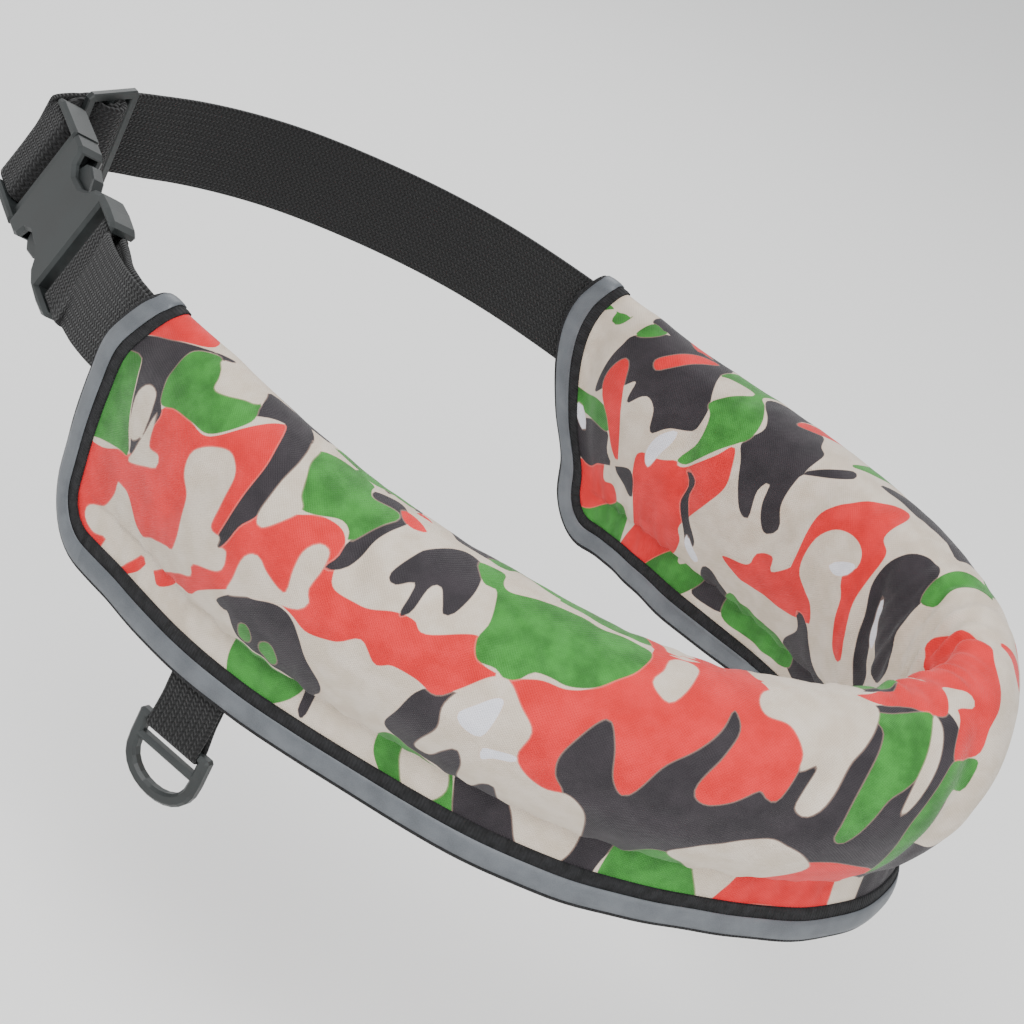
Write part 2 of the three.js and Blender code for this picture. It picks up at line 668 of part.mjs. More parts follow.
// The plug: two rails with the bar of the long belt between them, and a base that carries a
// tongue and two spring prongs with their buttons inside the socket
function buckle_plug() {
  const rail_inner = buckle_half - rail_width;
  const rail = (side) => solid_from(plate([
    [plug_start, side * rail_inner], [plug_start, side * (buckle_half - rail_width * 0.4)],
    [plug_start + rail_width, side * (buckle_half - rail_width * 0.1)],
    [mouth - gap, side * (buckle_half - rail_width * 0.1)], [mouth - gap, side * rail_inner],
  ], buckle_depth, rail_width / 4));
  const base_start = plug_bar_end + slot_length;
  const base_half = buckle_half - rail_width + 1 - prong_fit;
  const base_end = mouth + base_reach;
  const bar = plate(block(plug_bar_start, plug_bar_end, -rail_inner - 2, rail_inner + 2), bar_depth, 1);
  const base = plate(block(base_start, base_end, -base_half, base_half), prong_depth, 0.6);
  const tongue = plate(block(base_end - 1, mouth + prong_reach - 6, -3, 3), prong_depth, 0.6);
  let solid = rail(1).add(rail(-1)).add(solid_from(bar)).add(solid_from(base)).add(solid_from(tongue));
  for (const side of [1, -1]) {
    const waist = buckle_half * 0.6;
    const prong = [
      [base_end - 1, side * (waist - prong_width)], [base_end - 1, side * waist],
      [mouth + 13, side * (waist + 1)], [mouth + 15, side * (waist + button_reach + 2)],
      [mouth + 19, side * (waist + button_reach + 4)], [mouth + 26, side * (waist + button_reach + 2.6)],
      [mouth + 30, side * (waist + button_reach - 1.5)], [mouth + prong_reach - 2, side * (waist - 2)],
      [mouth + prong_reach - 2, side * (waist - prong_width - 1)],
    ];
    solid = solid.add(solid_from(plate(prong, prong_depth, 0.6)));
  }
  return geometry_of(solid);
}

// The slider: a flat frame round two windows, with a round bar between them
function strap_slider() {
  const half = slider_length / 2;
  const window = webbing_width / 2 + webbing_fit;
  const outer = window + slider_rail;
  const frame = solid_from(plate(
    [
      [-half, -outer + 2], [-half + 2, -outer], [half - 2, -outer], [half, -outer + 2],
      [half, outer - 2], [half - 2, outer], [-half + 2, outer], [-half, outer - 2],
    ],
    slider_depth, 0.5,
    [block(-half + slider_rail, half - slider_rail, -window, window)],
  ));
  const bar = new THREE.CylinderGeometry(slider_depth / 2, slider_depth / 2, 2 * window + 2, 8);
  bar.rotateX(Math.PI / 2).rotateZ(Math.PI / 8);
  return geometry_of(frame.add(solid_from(bar)));
}

// The ring's strap: two layers out of the hem, joined round the ring's upper bar. It runs across
// along the cover's lower edge there.
const ring_bar_h = pack_bottom - ring_drop - ring_bar / 2;
function ring_station(h, n) {
  const before = place(ring_s - ring_webbing_width / 2, h, n);
  const after = place(ring_s + ring_webbing_width / 2, h, n);
  return { centre: before.clone().add(after).divideScalar(2), across: after.sub(before).normalize() };
}
function ring_strap() {
  const round = ring_bar / 2 + gap + ring_webbing_thickness / 2;
  const apart = (ring_webbing_thickness + gap) / 2;
  const heights = [
    pack_bottom + ring_tuck, pack_bottom + ring_tuck / 2, pack_bottom,
    pack_bottom - ring_drop * 0.3, pack_bottom - ring_drop * 0.55,
  ];
  const layer_of = (side) => heights.map((h) => ring_station(h, side * apart));
  const loop = [];
  for (let i = 0; i <= 8; i += 1) {
    const turn = (Math.PI * i) / 8;
    loop.push(ring_station(ring_bar_h - round * Math.sin(turn), round * Math.cos(turn)));
  }
  const stations = [...layer_of(1), ...loop, ...layer_of(-1).reverse()];
  return webbing(stations, ring_webbing_width, ring_webbing_thickness, 1);
}

// The ring: a round upper bar in the strap's loop, a second bar below the strap and a round eye
function d_ring() {
  const half = ring_webbing_width / 2 + webbing_fit;
  const outer = half + ring_wire;
  const bar_top = -ring_bar / 2 - ring_slot;
  const bar_bottom = bar_top - ring_bar;
  const bow = (reach, drop, steps) => {
    const list = [];
    for (let i = 0; i <= steps; i += 1) {
      const turn = (Math.PI * i) / steps;
      list.push([reach * Math.cos(turn), bar_bottom - drop * Math.sin(turn) ** 0.8]);
    }
    return list;
  };
  const outline = [[-outer + 1, ring_bar / 2], [outer - 1, ring_bar / 2], [outer, ring_bar / 2 - 1]];
  outline.push(...bow(outer, ring_eye + ring_wire, 14), [-outer, ring_bar / 2 - 1]);
  const eye = bow(half, ring_eye, 12);
  const slot = block(-half, half, bar_top, -ring_bar / 2);
  const cut = new THREE.BoxGeometry(2 * half, 2 * ring_wire, 2 * ring_bar).translate(0, 0, ring_bar / 4);
  const bar = new THREE.CylinderGeometry(ring_bar / 2, ring_bar / 2, 2 * half + 2, 16).rotateZ(Math.PI / 2);
  const frame = solid_from(plate(outline, ring_wire, 1.1, [slot, eye])).subtract(solid_from(cut));
  return geometry_of(frame.add(solid_from(bar)));
}
function ring_frame() {
  const { centre, across } = ring_station(ring_bar_h, 0);
  const up = ring_station(pack_bottom, 0).centre.sub(centre);
  up.addScaledVector(across, -up.dot(across)).normalize();
  const inwards = new THREE.Vector3().crossVectors(up, across);
  return new THREE.Matrix4().makeBasis(across, inwards, up).setPosition(centre);
}

// The assembly: one named mesh for each piece
const finishes = {
  camouflage_oxford: { color: 0xc8261f, roughness: 0.75, metalness: 0 },
  black_binding: { color: 0x151515, roughness: 0.85, metalness: 0 },
  reflective_grey: { color: 0x7d8287, roughness: 0.45, metalness: 0 },
  black_webbing: { color: 0x161616, roughness: 0.85, metalness: 0 },
  black_acetal: { color: 0x2c3030, roughness: 0.4, metalness: 0 },
};
function piece(name, finish, geometry, frame = new THREE.Matrix4()) {
  const mesh = new THREE.Mesh(geometry, new THREE.MeshStandardMaterial(finishes[finish]));
  mesh.name = name;
  mesh.applyMatrix4(frame);
  return mesh;
}

const binding_top = gap + binding_thickness;
const belt_pack = new THREE.Group();
belt_pack.add(
  piece('pack_cover', 'camouflage_oxford', pack_cover()),
  piece('hem_binding', 'black_binding', edge_band(0, binding_width, gap, binding_top)),
  piece('reflective_strip', 'reflective_grey', edge_band(
    strip_inset, strip_inset + strip_width, binding_top + gap, binding_top + gap + strip_thickness,
  )),
  piece('main_belt', 'black_webbing', main_belt()),
  piece('short_belt', 'black_webbing', short_belt()),
  piece('strap_slider', 'black_acetal', strap_slider(), slider_frame),
  piece('buckle_socket', 'black_acetal', buckle_socket(), buckle_frame),
  piece('buckle_plug', 'black_acetal', buckle_plug(), buckle_frame),
  piece('ring_strap', 'black_webbing', ring_strap()),
  piece('d_ring', 'black_acetal', d_ring(), ring_frame()),
);

export default belt_pack;
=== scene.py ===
import math

import bmesh
import bpy
import numpy as np
from mathutils import Matrix, Vector


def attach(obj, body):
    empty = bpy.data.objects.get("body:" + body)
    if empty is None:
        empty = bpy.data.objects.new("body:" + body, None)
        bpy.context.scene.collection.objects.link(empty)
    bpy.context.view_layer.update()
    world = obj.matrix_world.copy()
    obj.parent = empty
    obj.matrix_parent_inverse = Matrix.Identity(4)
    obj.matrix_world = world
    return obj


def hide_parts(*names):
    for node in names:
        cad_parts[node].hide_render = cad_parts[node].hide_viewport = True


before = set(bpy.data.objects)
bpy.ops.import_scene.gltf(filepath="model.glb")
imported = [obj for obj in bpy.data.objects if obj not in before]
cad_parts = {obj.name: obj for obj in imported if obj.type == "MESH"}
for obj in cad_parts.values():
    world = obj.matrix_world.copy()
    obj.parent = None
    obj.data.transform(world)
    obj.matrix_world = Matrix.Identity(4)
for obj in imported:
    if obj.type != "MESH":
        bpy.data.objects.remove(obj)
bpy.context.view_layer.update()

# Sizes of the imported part, repeated here because scene.py reads nothing but the frame
loop_length = 450
loop_width = 250
pack_length = 642
pack_height = 108
pack_depth = 50
cloth_thickness = 1.6
hem_height = 27
hem_gap = 2.4
corner_radius = 26
end_reach = 100
gap = 0.3
binding_width = 14
webbing_width = 40
webbing_thickness = 2.4
webbing_fit = 0.5
belt_height = 28
ring_webbing_width = 25
ring_webbing_thickness = 1.6
ring_place = 0.154
end_top = belt_height + webbing_width / 2 + 2 * webbing_fit + 2 * cloth_thickness
pack_bottom = end_top - pack_height
hem_line = pack_bottom + hem_height

# The belt's line from above: across, along, lean and lift, in the part's own shares
route_rows = np.array([
    (-0.342, 0.212, 0.04, 0), (-0.376, 0.100, 0.09, 0), (-0.384, -0.040, 0.14, 0),
    (-0.340, -0.165, 0.15, 0), (-0.262, -0.280, 0.15, 0), (-0.150, -0.365, 0.14, 0),
    (0.010, -0.435, 0.12, 0), (0.170, -0.455, 0.10, 0), (0.310, -0.425, 0.06, 0),
    (0.400, -0.345, 0.04, 0), (0.455, -0.240, 0.04, 0), (0.485, -0.120, 0.02, 0),
    (0.495, -0.020, 0, 0), (0.515, 0.080, 0, 0), (0.500, 0.200, 0, 0), (0.440, 0.300, 0, 0),
    (0.340, 0.390, 0, 0), (0.200, 0.452, 0.04, 0), (0.050, 0.478, 0.12, 0),
    (-0.074, 0.469, 0.28, -0.04), (-0.152, 0.391, 0.34, -0.12), (-0.230, 0.313, 0.26, -0.18),
])
# The stuffed body: place along the pack, front and back bulge, rise of the top
section_rows = np.array([
    (0, 0, 0, 0), (0.028, 0, 0, 0), (0.06, 0.14, 0.10, -0.010), (0.12, 0.34, 0.26, -0.040),
    (0.2, 0.44, 0.36, -0.080), (0.3, 0.48, 0.42, -0.110), (0.4, 0.50, 0.44, -0.125),
    (0.5, 0.47, 0.40, -0.090), (0.58, 0.42, 0.30, -0.040), (0.64, 0.42, 0.28, 0),
    (0.72, 0.52, 0.38, 0.025), (0.82, 0.50, 0.40, 0.010), (0.9, 0.34, 0.34, -0.010),
    (0.95, 0.14, 0.14, 0), (0.972, 0, 0, 0), (1, 0, 0, 0),
])
# Dents of the stuffed body: face, place, height, half length, half width, lean, depth
fold_rows = [
    (1, 0.115, 0.62, 0.26, 0.05, 30, 0.06), (1, 0.210, 0.85, 0.24, 0.05, -25, 0.07),
    (1, 0.300, 0.80, 0.26, 0.06, 35, 0.07), (1, 0.390, 0.88, 0.24, 0.05, -20, 0.08),
    (1, 0.470, 0.78, 0.24, 0.06, 28, 0.07), (1, 0.545, 0.60, 0.40, 0.07, 12, 0.10),
    (1, 0.620, 0.45, 0.30, 0.06, -18, 0.07), (1, 0.720, 0.80, 0.26, 0.06, 24, 0.06),
    (1, 0.820, 0.70, 0.26, 0.06, -30, 0.06), (-1, 0.870, 0.70, 0.30, 0.06, 25, 0.06),
    (-1, 0.780, 0.80, 0.30, 0.06, -20, 0.08), (-1, 0.690, 0.60, 0.36, 0.06, 15, 0.09),
    (-1, 0.600, 0.60, 0.50, 0.09, 0, 0.16), (-1, 0.520, 0.70, 0.34, 0.06, -15, 0.09),
    (-1, 0.400, 0.70, 0.30, 0.06, 20, 0.07), (-1, 0.260, 0.70, 0.30, 0.06, -20, 0.06),
]
# Ripples of the hem along the pack, and of both ends by height
hem_wave_rows = np.array([
    (0, 0), (0.10, 0.05), (0.22, -0.06), (0.34, 0.04), (0.46, -0.03), (0.56, 0.08),
    (0.64, -0.06), (0.74, 0.10), (0.84, -0.10), (0.93, 0.16), (1, 0),
])
end_wave_rows = np.array([
    (0, 0.18, 1.05), (0.12, 0.12, 1.02), (0.27, 0.04, 0.90), (0.43, -0.04, 0.42),
    (0.60, -0.06, 0.06), (0.75, -0.02, -0.10), (0.88, 0.24, -0.06), (1, 0.55, 0.16),
])


def between(rows, column, share):
    """Smooth value between the rows of a table whose first column runs from 0 to 1."""
    at = rows[:, 0]
    value = rows[:, column]
    last = len(rows) - 1
    share = np.clip(share, 0, 1)
    i = np.clip(np.searchsorted(at, share, side="left") - 1, 0, last - 1)
    before = np.maximum(i - 1, 0)
    after = np.minimum(i + 2, last)
    span = at[i + 1] - at[i]
    t = (share - at[i]) / span
    slope_a = (value[i + 1] - value[before]) / (at[i + 1] - at[before]) * span
    slope_b = (value[after] - value[i]) / (at[after] - at[i]) * span
    return (
        (2 * t**3 - 3 * t**2 + 1) * value[i] + (t**3 - 2 * t**2 + t) * slope_a
        + (3 * t**2 - 2 * t**3) * value[i + 1] + (t**3 - t**2) * slope_b
    )


def smooth(share):
    share = np.clip(share, 0, 1)
    return share * share * (3 - 2 * share)


def curve_span(p, w):
    """Place and slope at share w between the middle two of four points (centripetal spline)."""
    d = [np.sum((p[k + 1] - p[k]) ** 2, axis=-1, keepdims=True) ** 0.25 for k in range(3)]
    d = [np.maximum(step, 1e-4) for step in d]
    m1 = ((p[1] - p[0]) / d[0] - (p[2] - p[0]) / (d[0] + d[1]) + (p[2] - p[1]) / d[1]) * d[1]
    m2 = ((p[2] - p[1]) / d[1] - (p[3] - p[1]) / (d[1] + d[2]) + (p[3] - p[2]) / d[2]) * d[1]
    c2 = -3 * p[1] + 3 * p[2] - 2 * m1 - m2
    c3 = 2 * p[1] - 2 * p[2] + m1 + m2
    return p[1] + m1 * w + c2 * w**2 + c3 * w**3, m1 + 2 * c2 * w + 3 * c3 * w**2


def route_at(t):
    """Points and derivatives of the belt's closed line at t in rows."""
    points = route_rows[:, :2] * (loop_width, loop_length)
    i = np.floor(t).astype(int)
    return curve_span([points[(i + k) % len(points)] for k in (-1, 0, 1, 2)], (t - i)[..., None])


route_steps = len(route_rows) * 100
route_t = np.linspace(0, len(route_rows), route_steps + 1)
route_points = route_at(route_t % len(route_rows))[0]
route_lengths = np.concatenate([[0], np.cumsum(np.linalg.norm(np.diff(route_points, axis=0), axis=1))])
route_length = route_lengths[-1]
round_rows = np.column_stack([
    np.arange(len(route_rows) + 1) / len(route_rows),
    np.concatenate([route_rows[:, 2], route_rows[:1, 2]]),
    np.concatenate([route_rows[:, 3], route_rows[:1, 3]]),
])


def line_at(s):
    """Point of the belt's line at lengths s, the way along it, the way out, its lean and level."""
    t = np.interp(np.mod(s, route_length), route_lengths, route_t) % len(route_rows)
    point, slope = route_at(t)
    along = slope / np.linalg.norm(slope, axis=-1, keepdims=True)
    out = np.stack([along[..., 1], -along[..., 0]], axis=-1)
    share = t / len(route_rows)
    level = belt_height + between(round_rows, 2, share) * webbing_width
    return point, along, out, between(round_rows, 1, share), level


near_end = 0.0
far_end = near_end + pack_length
ring_s = near_end + pack_length * ring_place
slider_s = route_lengths[18 * 100]
buckle_s = route_lengths[20 * 100]


def hem_ripple(s):
    """Small ripples of the hem that the long waves of the table leave out, in millimetres."""
    at = (s - near_end) / pack_length
    small = 0.5 * np.sin(s / 9.5 + 1.3 * np.sin(s / 31)) + 0.35 * np.sin(s / 5.1 + 2 * np.sin(s / 47))
    strong = 0.5 + 1.2 * np.exp(-(((at - 0.62) / 0.08) ** 2)) + 0.5 * np.exp(-(((at - 0.93) / 0.06) ** 2))
    return small * strong * smooth(np.minimum(s - near_end, far_end - s) / 40)


def place(s, h, n):
    """A place of the cover in millimetres: s along the belt, h up, n out of the belt's line."""
    s, h, n = np.broadcast_arrays(np.asarray(s, float), np.asarray(h, float), np.asarray(n, float))
    up = (h - pack_bottom) / pack_height
    at = (s - near_end) / pack_length
    near_pull = smooth(1 - (s - near_end) / end_reach) * between(end_wave_rows, 1, up)
    far_pull = smooth(1 - (far_end - s) / end_reach) * between(end_wave_rows, 2, up)
    point, _, out, lean, _ = line_at(s + (near_pull - far_pull) * hem_height)
    low = smooth((hem_line - h) / hem_height)
    ripple = (between(hem_wave_rows, 1, at) * hem_height + hem_ripple(s)) * low
    shift = n + ripple + lean * (belt_height - h)
    flat = point + out * shift[..., None]
    return np.concatenate([flat, h[..., None]], axis=-1)


near_half = webbing_thickness + gap / 2 + webbing_fit
far_half = webbing_thickness / 2 + webbing_fit


def low_half(s):
    """Half the space between the two layers of the hem."""
    ring_half = ring_webbing_thickness + gap / 2 + webbing_fit
    away = (np.abs(s - ring_s) - ring_webbing_width * 0.6) / ring_webbing_width
    middle = ring_half + (hem_gap / 2 - ring_half) * smooth(away)
    near = smooth(1 - (s - near_end) / corner_radius / 2)
    far = smooth(1 - (far_end - s) / corner_radius / 2)
    return middle + (near_half - middle) * near + (far_half - middle) * far


def high_half(s):
    return near_half + (far_half - near_half) * smooth((s - near_end) / pack_length)


def fold_depth(side, s, h):
    """How far the dents draw a face in, in millimetres."""
    depth = 0
    for face, at, up, reach, half, tilt, deep in fold_rows:
        if face != side:
            continue
        turn = math.radians(tilt)
        ds = s - (near_end + at * pack_length)
        dh = h - (pack_bottom + up * pack_height)
        across = (ds * math.cos(turn) - dh * math.sin(turn)) / (half * pack_height)
        down = (ds * math.sin(turn) + dh * math.cos(turn)) / (reach * pack_height)
        depth = depth + deep * pack_depth * np.exp(-(across**2)) * smooth(1.4 - np.abs(down))
    return depth


def cover_low(s):
    """Height of the cover's lower edge, which turns up round both corners."""
    inside = np.minimum(np.minimum(s - near_end, far_end - s), corner_radius)
    return pack_bottom + corner_radius - np.sqrt(
        np.maximum(corner_radius**2 - (corner_radius - inside) ** 2, 0)
    )


def cover_face(side, s, v):
    """Height and outward offset of a face of the cover, v from the hem line to the top."""
    at = (s - near_end) / pack_length
    foot = np.maximum(hem_line, cover_low(s) + 1)
    top = end_top + between(section_rows, 3, at) * pack_height
    reach = np.maximum(between(section_rows, 1 if side > 0 else 2, at), 0) * pack_depth
    rounding = np.minimum((high_half(s) + cloth_thickness) / (top - foot), 0.5)
    flat = np.sqrt(np.maximum(1 - np.maximum((v - 1 + rounding) / rounding, 0) ** 2, 0))
    half = low_half(s) + (high_half(s) - low_half(s)) * smooth(v / 0.35) + cloth_thickness
    full = 2 * np.sqrt(np.maximum(v * (1 - v), 0)) * (1 - 0.4 * (1 - v) ** 2)
    h = foot + (top - foot) * v
    fold = fold_depth(side, s, h) * np.minimum(1, reach / (0.3 * pack_depth)) * full
    return h, side * (half * flat + reach * full - fold)


def grid_faces(rings, count, closed_rings=False):
    """Quads between closed rings of equal length."""
    i = np.arange(rings if closed_rings else rings - 1)[:, None]
    j = np.arange(count)[None, :]
    here = i * count
    after = ((i + 1) % rings) * count
    k = (j + 1) % count
    quads = np.stack(np.broadcast_arrays(here + j, here + k, after + k, after + j), axis=-1)
    return quads.reshape(-1, 4)


def make_piece(name, points, faces, uv=None, values=None, angle=None):
    """A mesh object from millimetre points, with a UV per point and float values per point."""
    mesh = bpy.data.meshes.new(name)
    mesh.from_pydata((np.asarray(points) / 1000).tolist(), [], [list(f) for f in faces])
    mesh.validate()
    if uv is not None:
        loops = np.empty(len(mesh.loops), dtype=np.int32)
        mesh.loops.foreach_get("vertex_index", loops)
        layer = mesh.uv_layers.new(name="cloth")
        layer.data.foreach_set("uv", np.asarray(uv, dtype=np.float32)[loops].ravel())
    for key, value in (values or {}).items():
        attribute = mesh.attributes.new(key, "FLOAT", "POINT")
        attribute.data.foreach_set("value", np.asarray(value, dtype=np.float32).ravel())
    obj = bpy.data.objects.new(name, mesh)
    bpy.context.scene.collection.objects.link(obj)
    face_out(obj)
    smooth_piece(obj, angle)
    return obj


def face_out(obj):
    """Turns every face of a closed mesh outwards."""
    work = bmesh.new()
    work.from_mesh(obj.data)
    bmesh.ops.recalc_face_normals(work, faces=work.faces)
    if work.calc_volume(signed=True) < 0:
        bmesh.ops.reverse_faces(work, faces=work.faces)
    work.to_mesh(obj.data)
    work.free()


def smooth_piece(obj, angle=None):
    bpy.ops.object.select_all(action="DESELECT")
    bpy.context.view_layer.objects.active = obj
    obj.select_set(True)
    if angle is None:
        bpy.ops.object.shade_smooth()
    else:
        bpy.ops.object.shade_smooth_by_angle(angle=math.radians(angle))
    obj.select_set(False)


# The cover's surface
hem_rows = 14
face_rows = 52
slot_rows = 9


def cover_stations():
    """Lengths along the cover: close together round the corners, then every 1.6 mm."""
    turn = np.linspace(0, math.pi / 2, 15)
    corner = corner_radius * (1 - np.cos(turn))
    count = round((pack_length - 2 * corner_radius) / 1.6)
    middle = np.linspace(near_end + corner_radius, far_end - corner_radius, count + 1)[1:-1]
    return np.concatenate([near_end + corner, middle, (far_end - corner)[::-1]])


def cover_outside():
    """Rings of (h, n) over the outside of the cover, from the front's lower edge to the back's."""
    s = cover_stations()[:, None]
    low = cover_low(s)
    foot = np.maximum(hem_line, low + 1)
    flat = low_half(s) + cloth_thickness
    rise = np.linspace(0, 1, hem_rows, endpoint=False)[None, :]
    v = (1 - np.cos(math.pi * np.arange(face_rows)[None, :] / face_rows)) / 2
    hem_h = low + (foot - low) * rise
    hem_n = np.broadcast_to(flat, hem_h.shape)
    front_h, front_n = cover_face(1, s, v)
    back_h, back_n = cover_face(-1, s, v)
    at = (s - near_end) / pack_length
    top = end_top + between(section_rows, 3, at) * pack_height
    h = np.concatenate([hem_h, front_h, top, back_h[:, ::-1], hem_h[:, ::-1]], axis=1)
    n = np.concatenate([hem_n, front_n, top * 0, back_n[:, ::-1], -hem_n[:, ::-1]], axis=1)
    return s, h, n


def grid_normals(points):
    """Outward normals of a grid of points [along, round]."""
    along = np.gradient(points, axis=0)
    round_it = np.gradient(points, axis=1)
    normal = np.cross(along, round_it)
    return normal / np.maximum(np.linalg.norm(normal, axis=-1, keepdims=True), 1e-9)


def wave(x, seed):
    """Smooth uneven wave between about -1 and 1, one hump for each unit of x."""
    rng = np.random.default_rng(seed)
    total = 0
    for k in range(4):
        pace = rng.uniform(0.55, 1.5)
        total = total + np.sin(2 * math.pi * (x * pace + rng.uniform(0, 1))) / 2.2
    return total


def cover_grid():
    """Points of the cover's outside with its folds, and the cloth's own coordinates."""
    s, h, n = cover_outside()
    points = place(s, h, n)
    reach = np.hypot(np.diff(h, axis=1), np.diff(n, axis=1))
    v = np.concatenate([np.zeros((len(s), 1)), np.cumsum(reach, axis=1)], axis=1)
    low = cover_low(s) - pack_bottom
    v = v + low
    u = np.broadcast_to(s, v.shape)
    total = v[:, -1:] + low
    at = (s - near_end) / pack_length
    normal = grid_normals(points)
    middle = len(s) // 2
    front = points[middle, hem_rows // 2]
    back = points[middle, -hem_rows // 2]
    if normal[middle, hem_rows // 2] @ (front - back) < 0:
        normal = -normal
    ends = smooth((np.minimum(u - near_end, far_end - u) - binding_width - 2) / 22)
    body = smooth((np.minimum(v, total - v) - hem_height + 2) / 14)
    # Slack cloth over the folded bladder
    swell = 0.9 * wave(u / 46 + 0.35 * wave(v / 60, 3), 5) * wave(v / 52 + 0.3 * wave(u / 40, 7), 9)
    # Puckers along the stitched line, front and back, that die out up the face
    up_front = v - hem_height
    up_back = total - v - hem_height
    pucker = 0
    for up, seed in ((up_front, 11), (up_back, 12)):
        fade = smooth(up / 3 + 0.4) * np.exp(-np.maximum(up, 0) / 11)
        lean = 0.25 * wave(u / 90, seed + 20) * up
        long_wave = 0.45 * wave((u + lean) / 15, seed + 1)
        pucker = pucker + fade * (0.55 * wave((u + lean) / 8.5, seed) + long_wave)
    # Gathers where the inner face is the shorter way round the bend
    bend = np.exp(-(((at - 0.60) / 0.10) ** 2))
    inner = smooth((v / total - 0.45) / 0.12) * smooth((up_back + 4) / 12)
    gather = bend * inner * (1.6 * wave((u + 0.15 * v) / 15, 31) + 0.8 * wave((u - 0.2 * v) / 8, 32))
    hem = 1 - smooth((np.minimum(v, total - v) - hem_height + 6) / 6)
    flutter = 0.35 * hem * smooth((np.minimum(v, total - v) - binding_width) / 4) * wave(u / 13, 41)
    shift = ends * (body * swell + pucker + body * gather) + ends * flutter
    return points + normal * shift[..., None], u, v, total


def cover_slot():
    """Rings of (h, n) back through the slot between the two layers, from the back's lower edge."""
    s = cover_stations()[:, None]
    low = cover_low(s)
    end = (s < near_end + 12) | (s > far_end - 12)
    foot = np.maximum(hem_line, low + 1)
    rise = np.linspace(0, 1, slot_rows)[None, :]
    pocket_top = belt_height + webbing_width / 2 + 1
    high = np.where(end, pocket_top, np.maximum(hem_line - cloth_thickness, low + 2))
    wide = np.where(end, np.where(s < pack_length / 2, near_half, far_half), low_half(s))
    h = low + (high - low) * rise
    n = low_half(s) + (wide - low_half(s)) * smooth((h - foot) / 20)
    return s, np.concatenate([h, h[:, ::-1]], axis=1), np.concatenate([-n, n[:, ::-1]], axis=1)


def zip_cap(first, second):
    """Triangles between two chains of a ring, the first from 0 and the second from the last."""
    total = first + second
    faces = []
    a = b = 0
    while a < first - 1 or b < second - 1:
        other = total - 1 - b
        if b == second - 1 or (a < first - 1 and a / (first - 1) <= b / (second - 1)):
            faces.append((a, a + 1, other))
            a += 1
        else:
            faces.append((a, other - 1, other))
            b += 1
    return faces


def cover_piece():
    points, u, v, total = cover_grid()
    s, h, n = cover_slot()
    slot = place(s, h, n)
    rings, outside = u.shape
    count = outside + slot.shape[1]
    ring_points = np.concatenate([points, slot], axis=1).reshape(-1, 3)
    risen = 0.1 * (h - pack_bottom)
    slot_v = np.concatenate([total - risen[:, :slot_rows], risen[:, slot_rows:]], axis=1)
    cloth_u = np.concatenate([u, np.broadcast_to(s, h.shape)], axis=1).ravel()
    cloth_v = np.concatenate([v, slot_v], axis=1).ravel()
    faces = grid_faces(rings, count).tolist()
    cap = zip_cap(outside, slot.shape[1])
    last = (rings - 1) * count
    faces += [(a, c, b) for a, b, c in cap]
    faces += [(last + a, last + b, last + c) for a, b, c in cap]
    values = camouflage_fields(cloth_u, cloth_v)
    uv = np.column_stack([cloth_u, cloth_v]) / 1000
    return make_piece("cover_cloth", ring_points, faces, uv=uv, values=values)


# The bound edge
def edge_path():
    """Once round the cover's edge: s, h, n, the way into the cloth and the way out of its face."""
    quarter = 12
    upright = 44

    def end_face(end, side):
        s = near_end if end < 0 else far_end
        half = float(high_half(s)) + cloth_thickness
        part = []
        for i in range(quarter):
            turn = math.pi / 2 * i / quarter
            corner_s = s - end * corner_radius * (1 - math.sin(turn))
            part.append((
                corner_s, pack_bottom + corner_radius * (1 - math.cos(turn)),
                side * (float(low_half(corner_s)) + cloth_thickness),
                -end * math.sin(turn), math.cos(turn), 0, side,
            ))
        straight = end_top - half - pack_bottom - corner_radius
        for i in range(upright + 1):
            h = pack_bottom + corner_radius + straight * i / upright
            part.append((s, h, side * half, -end, 0, 0, side))
        for i in range(1, 6):
            turn = math.pi / 2 * i / 6
            up, across = math.sin(turn), side * math.cos(turn)
            part.append((s, end_top - half + half * up, half * across, -end, 0, up, across))
        return part

    count = round((pack_length - 2 * corner_radius) / 1.9)
    stations = np.linspace(near_end + corner_radius, far_end - corner_radius, count + 1)

    def hem(side):
        return [
            (s, pack_bottom, side * (float(low_half(s)) + cloth_thickness), 0, 1, 0, side)
            for s in stations
        ]

    def end_loop(end):
        s = near_end if end < 0 else far_end
        top = (s, end_top, 0, -end, 0, 1, 0)
        return [*end_face(end, 1)[1:], top, *end_face(end, -1)[:0:-1]]

    rows = [*end_loop(-1), *hem(-1), *end_loop(1)[::-1], *hem(1)[::-1]]
    return np.array(rows)


def edge_band_piece(name, section, angle=None):
    """A closed band round the cover's edge. Its section is (into the cloth, off its face) in mm."""
    rows = edge_path()
    s, h, n, into_s, into_h, face_h, face_n = rows.T[:, :, None]
    into = np.array([p[0] for p in section])[None, :]
    off = np.array([p[1] for p in section])[None, :]
    points = place(s + into_s * into, h + into_h * into + face_h * off, n + face_n * off)
    steps = np.linalg.norm(np.diff(points[:, 0], axis=0, append=points[:1, 0]), axis=1)
    along = np.concatenate([[0], np.cumsum(steps)[:-1]])
    across = np.concatenate([[0], np.cumsum(np.hypot(np.diff(into[0]), np.diff(off[0])))])
    uv = np.stack(np.broadcast_arrays(along[:, None], across[None, :]), axis=-1).reshape(-1, 2) / 1000
    faces = grid_faces(len(rows), len(section), closed_rings=True)
    return make_piece(name, points.reshape(-1, 3), faces, uv=uv, angle=angle)


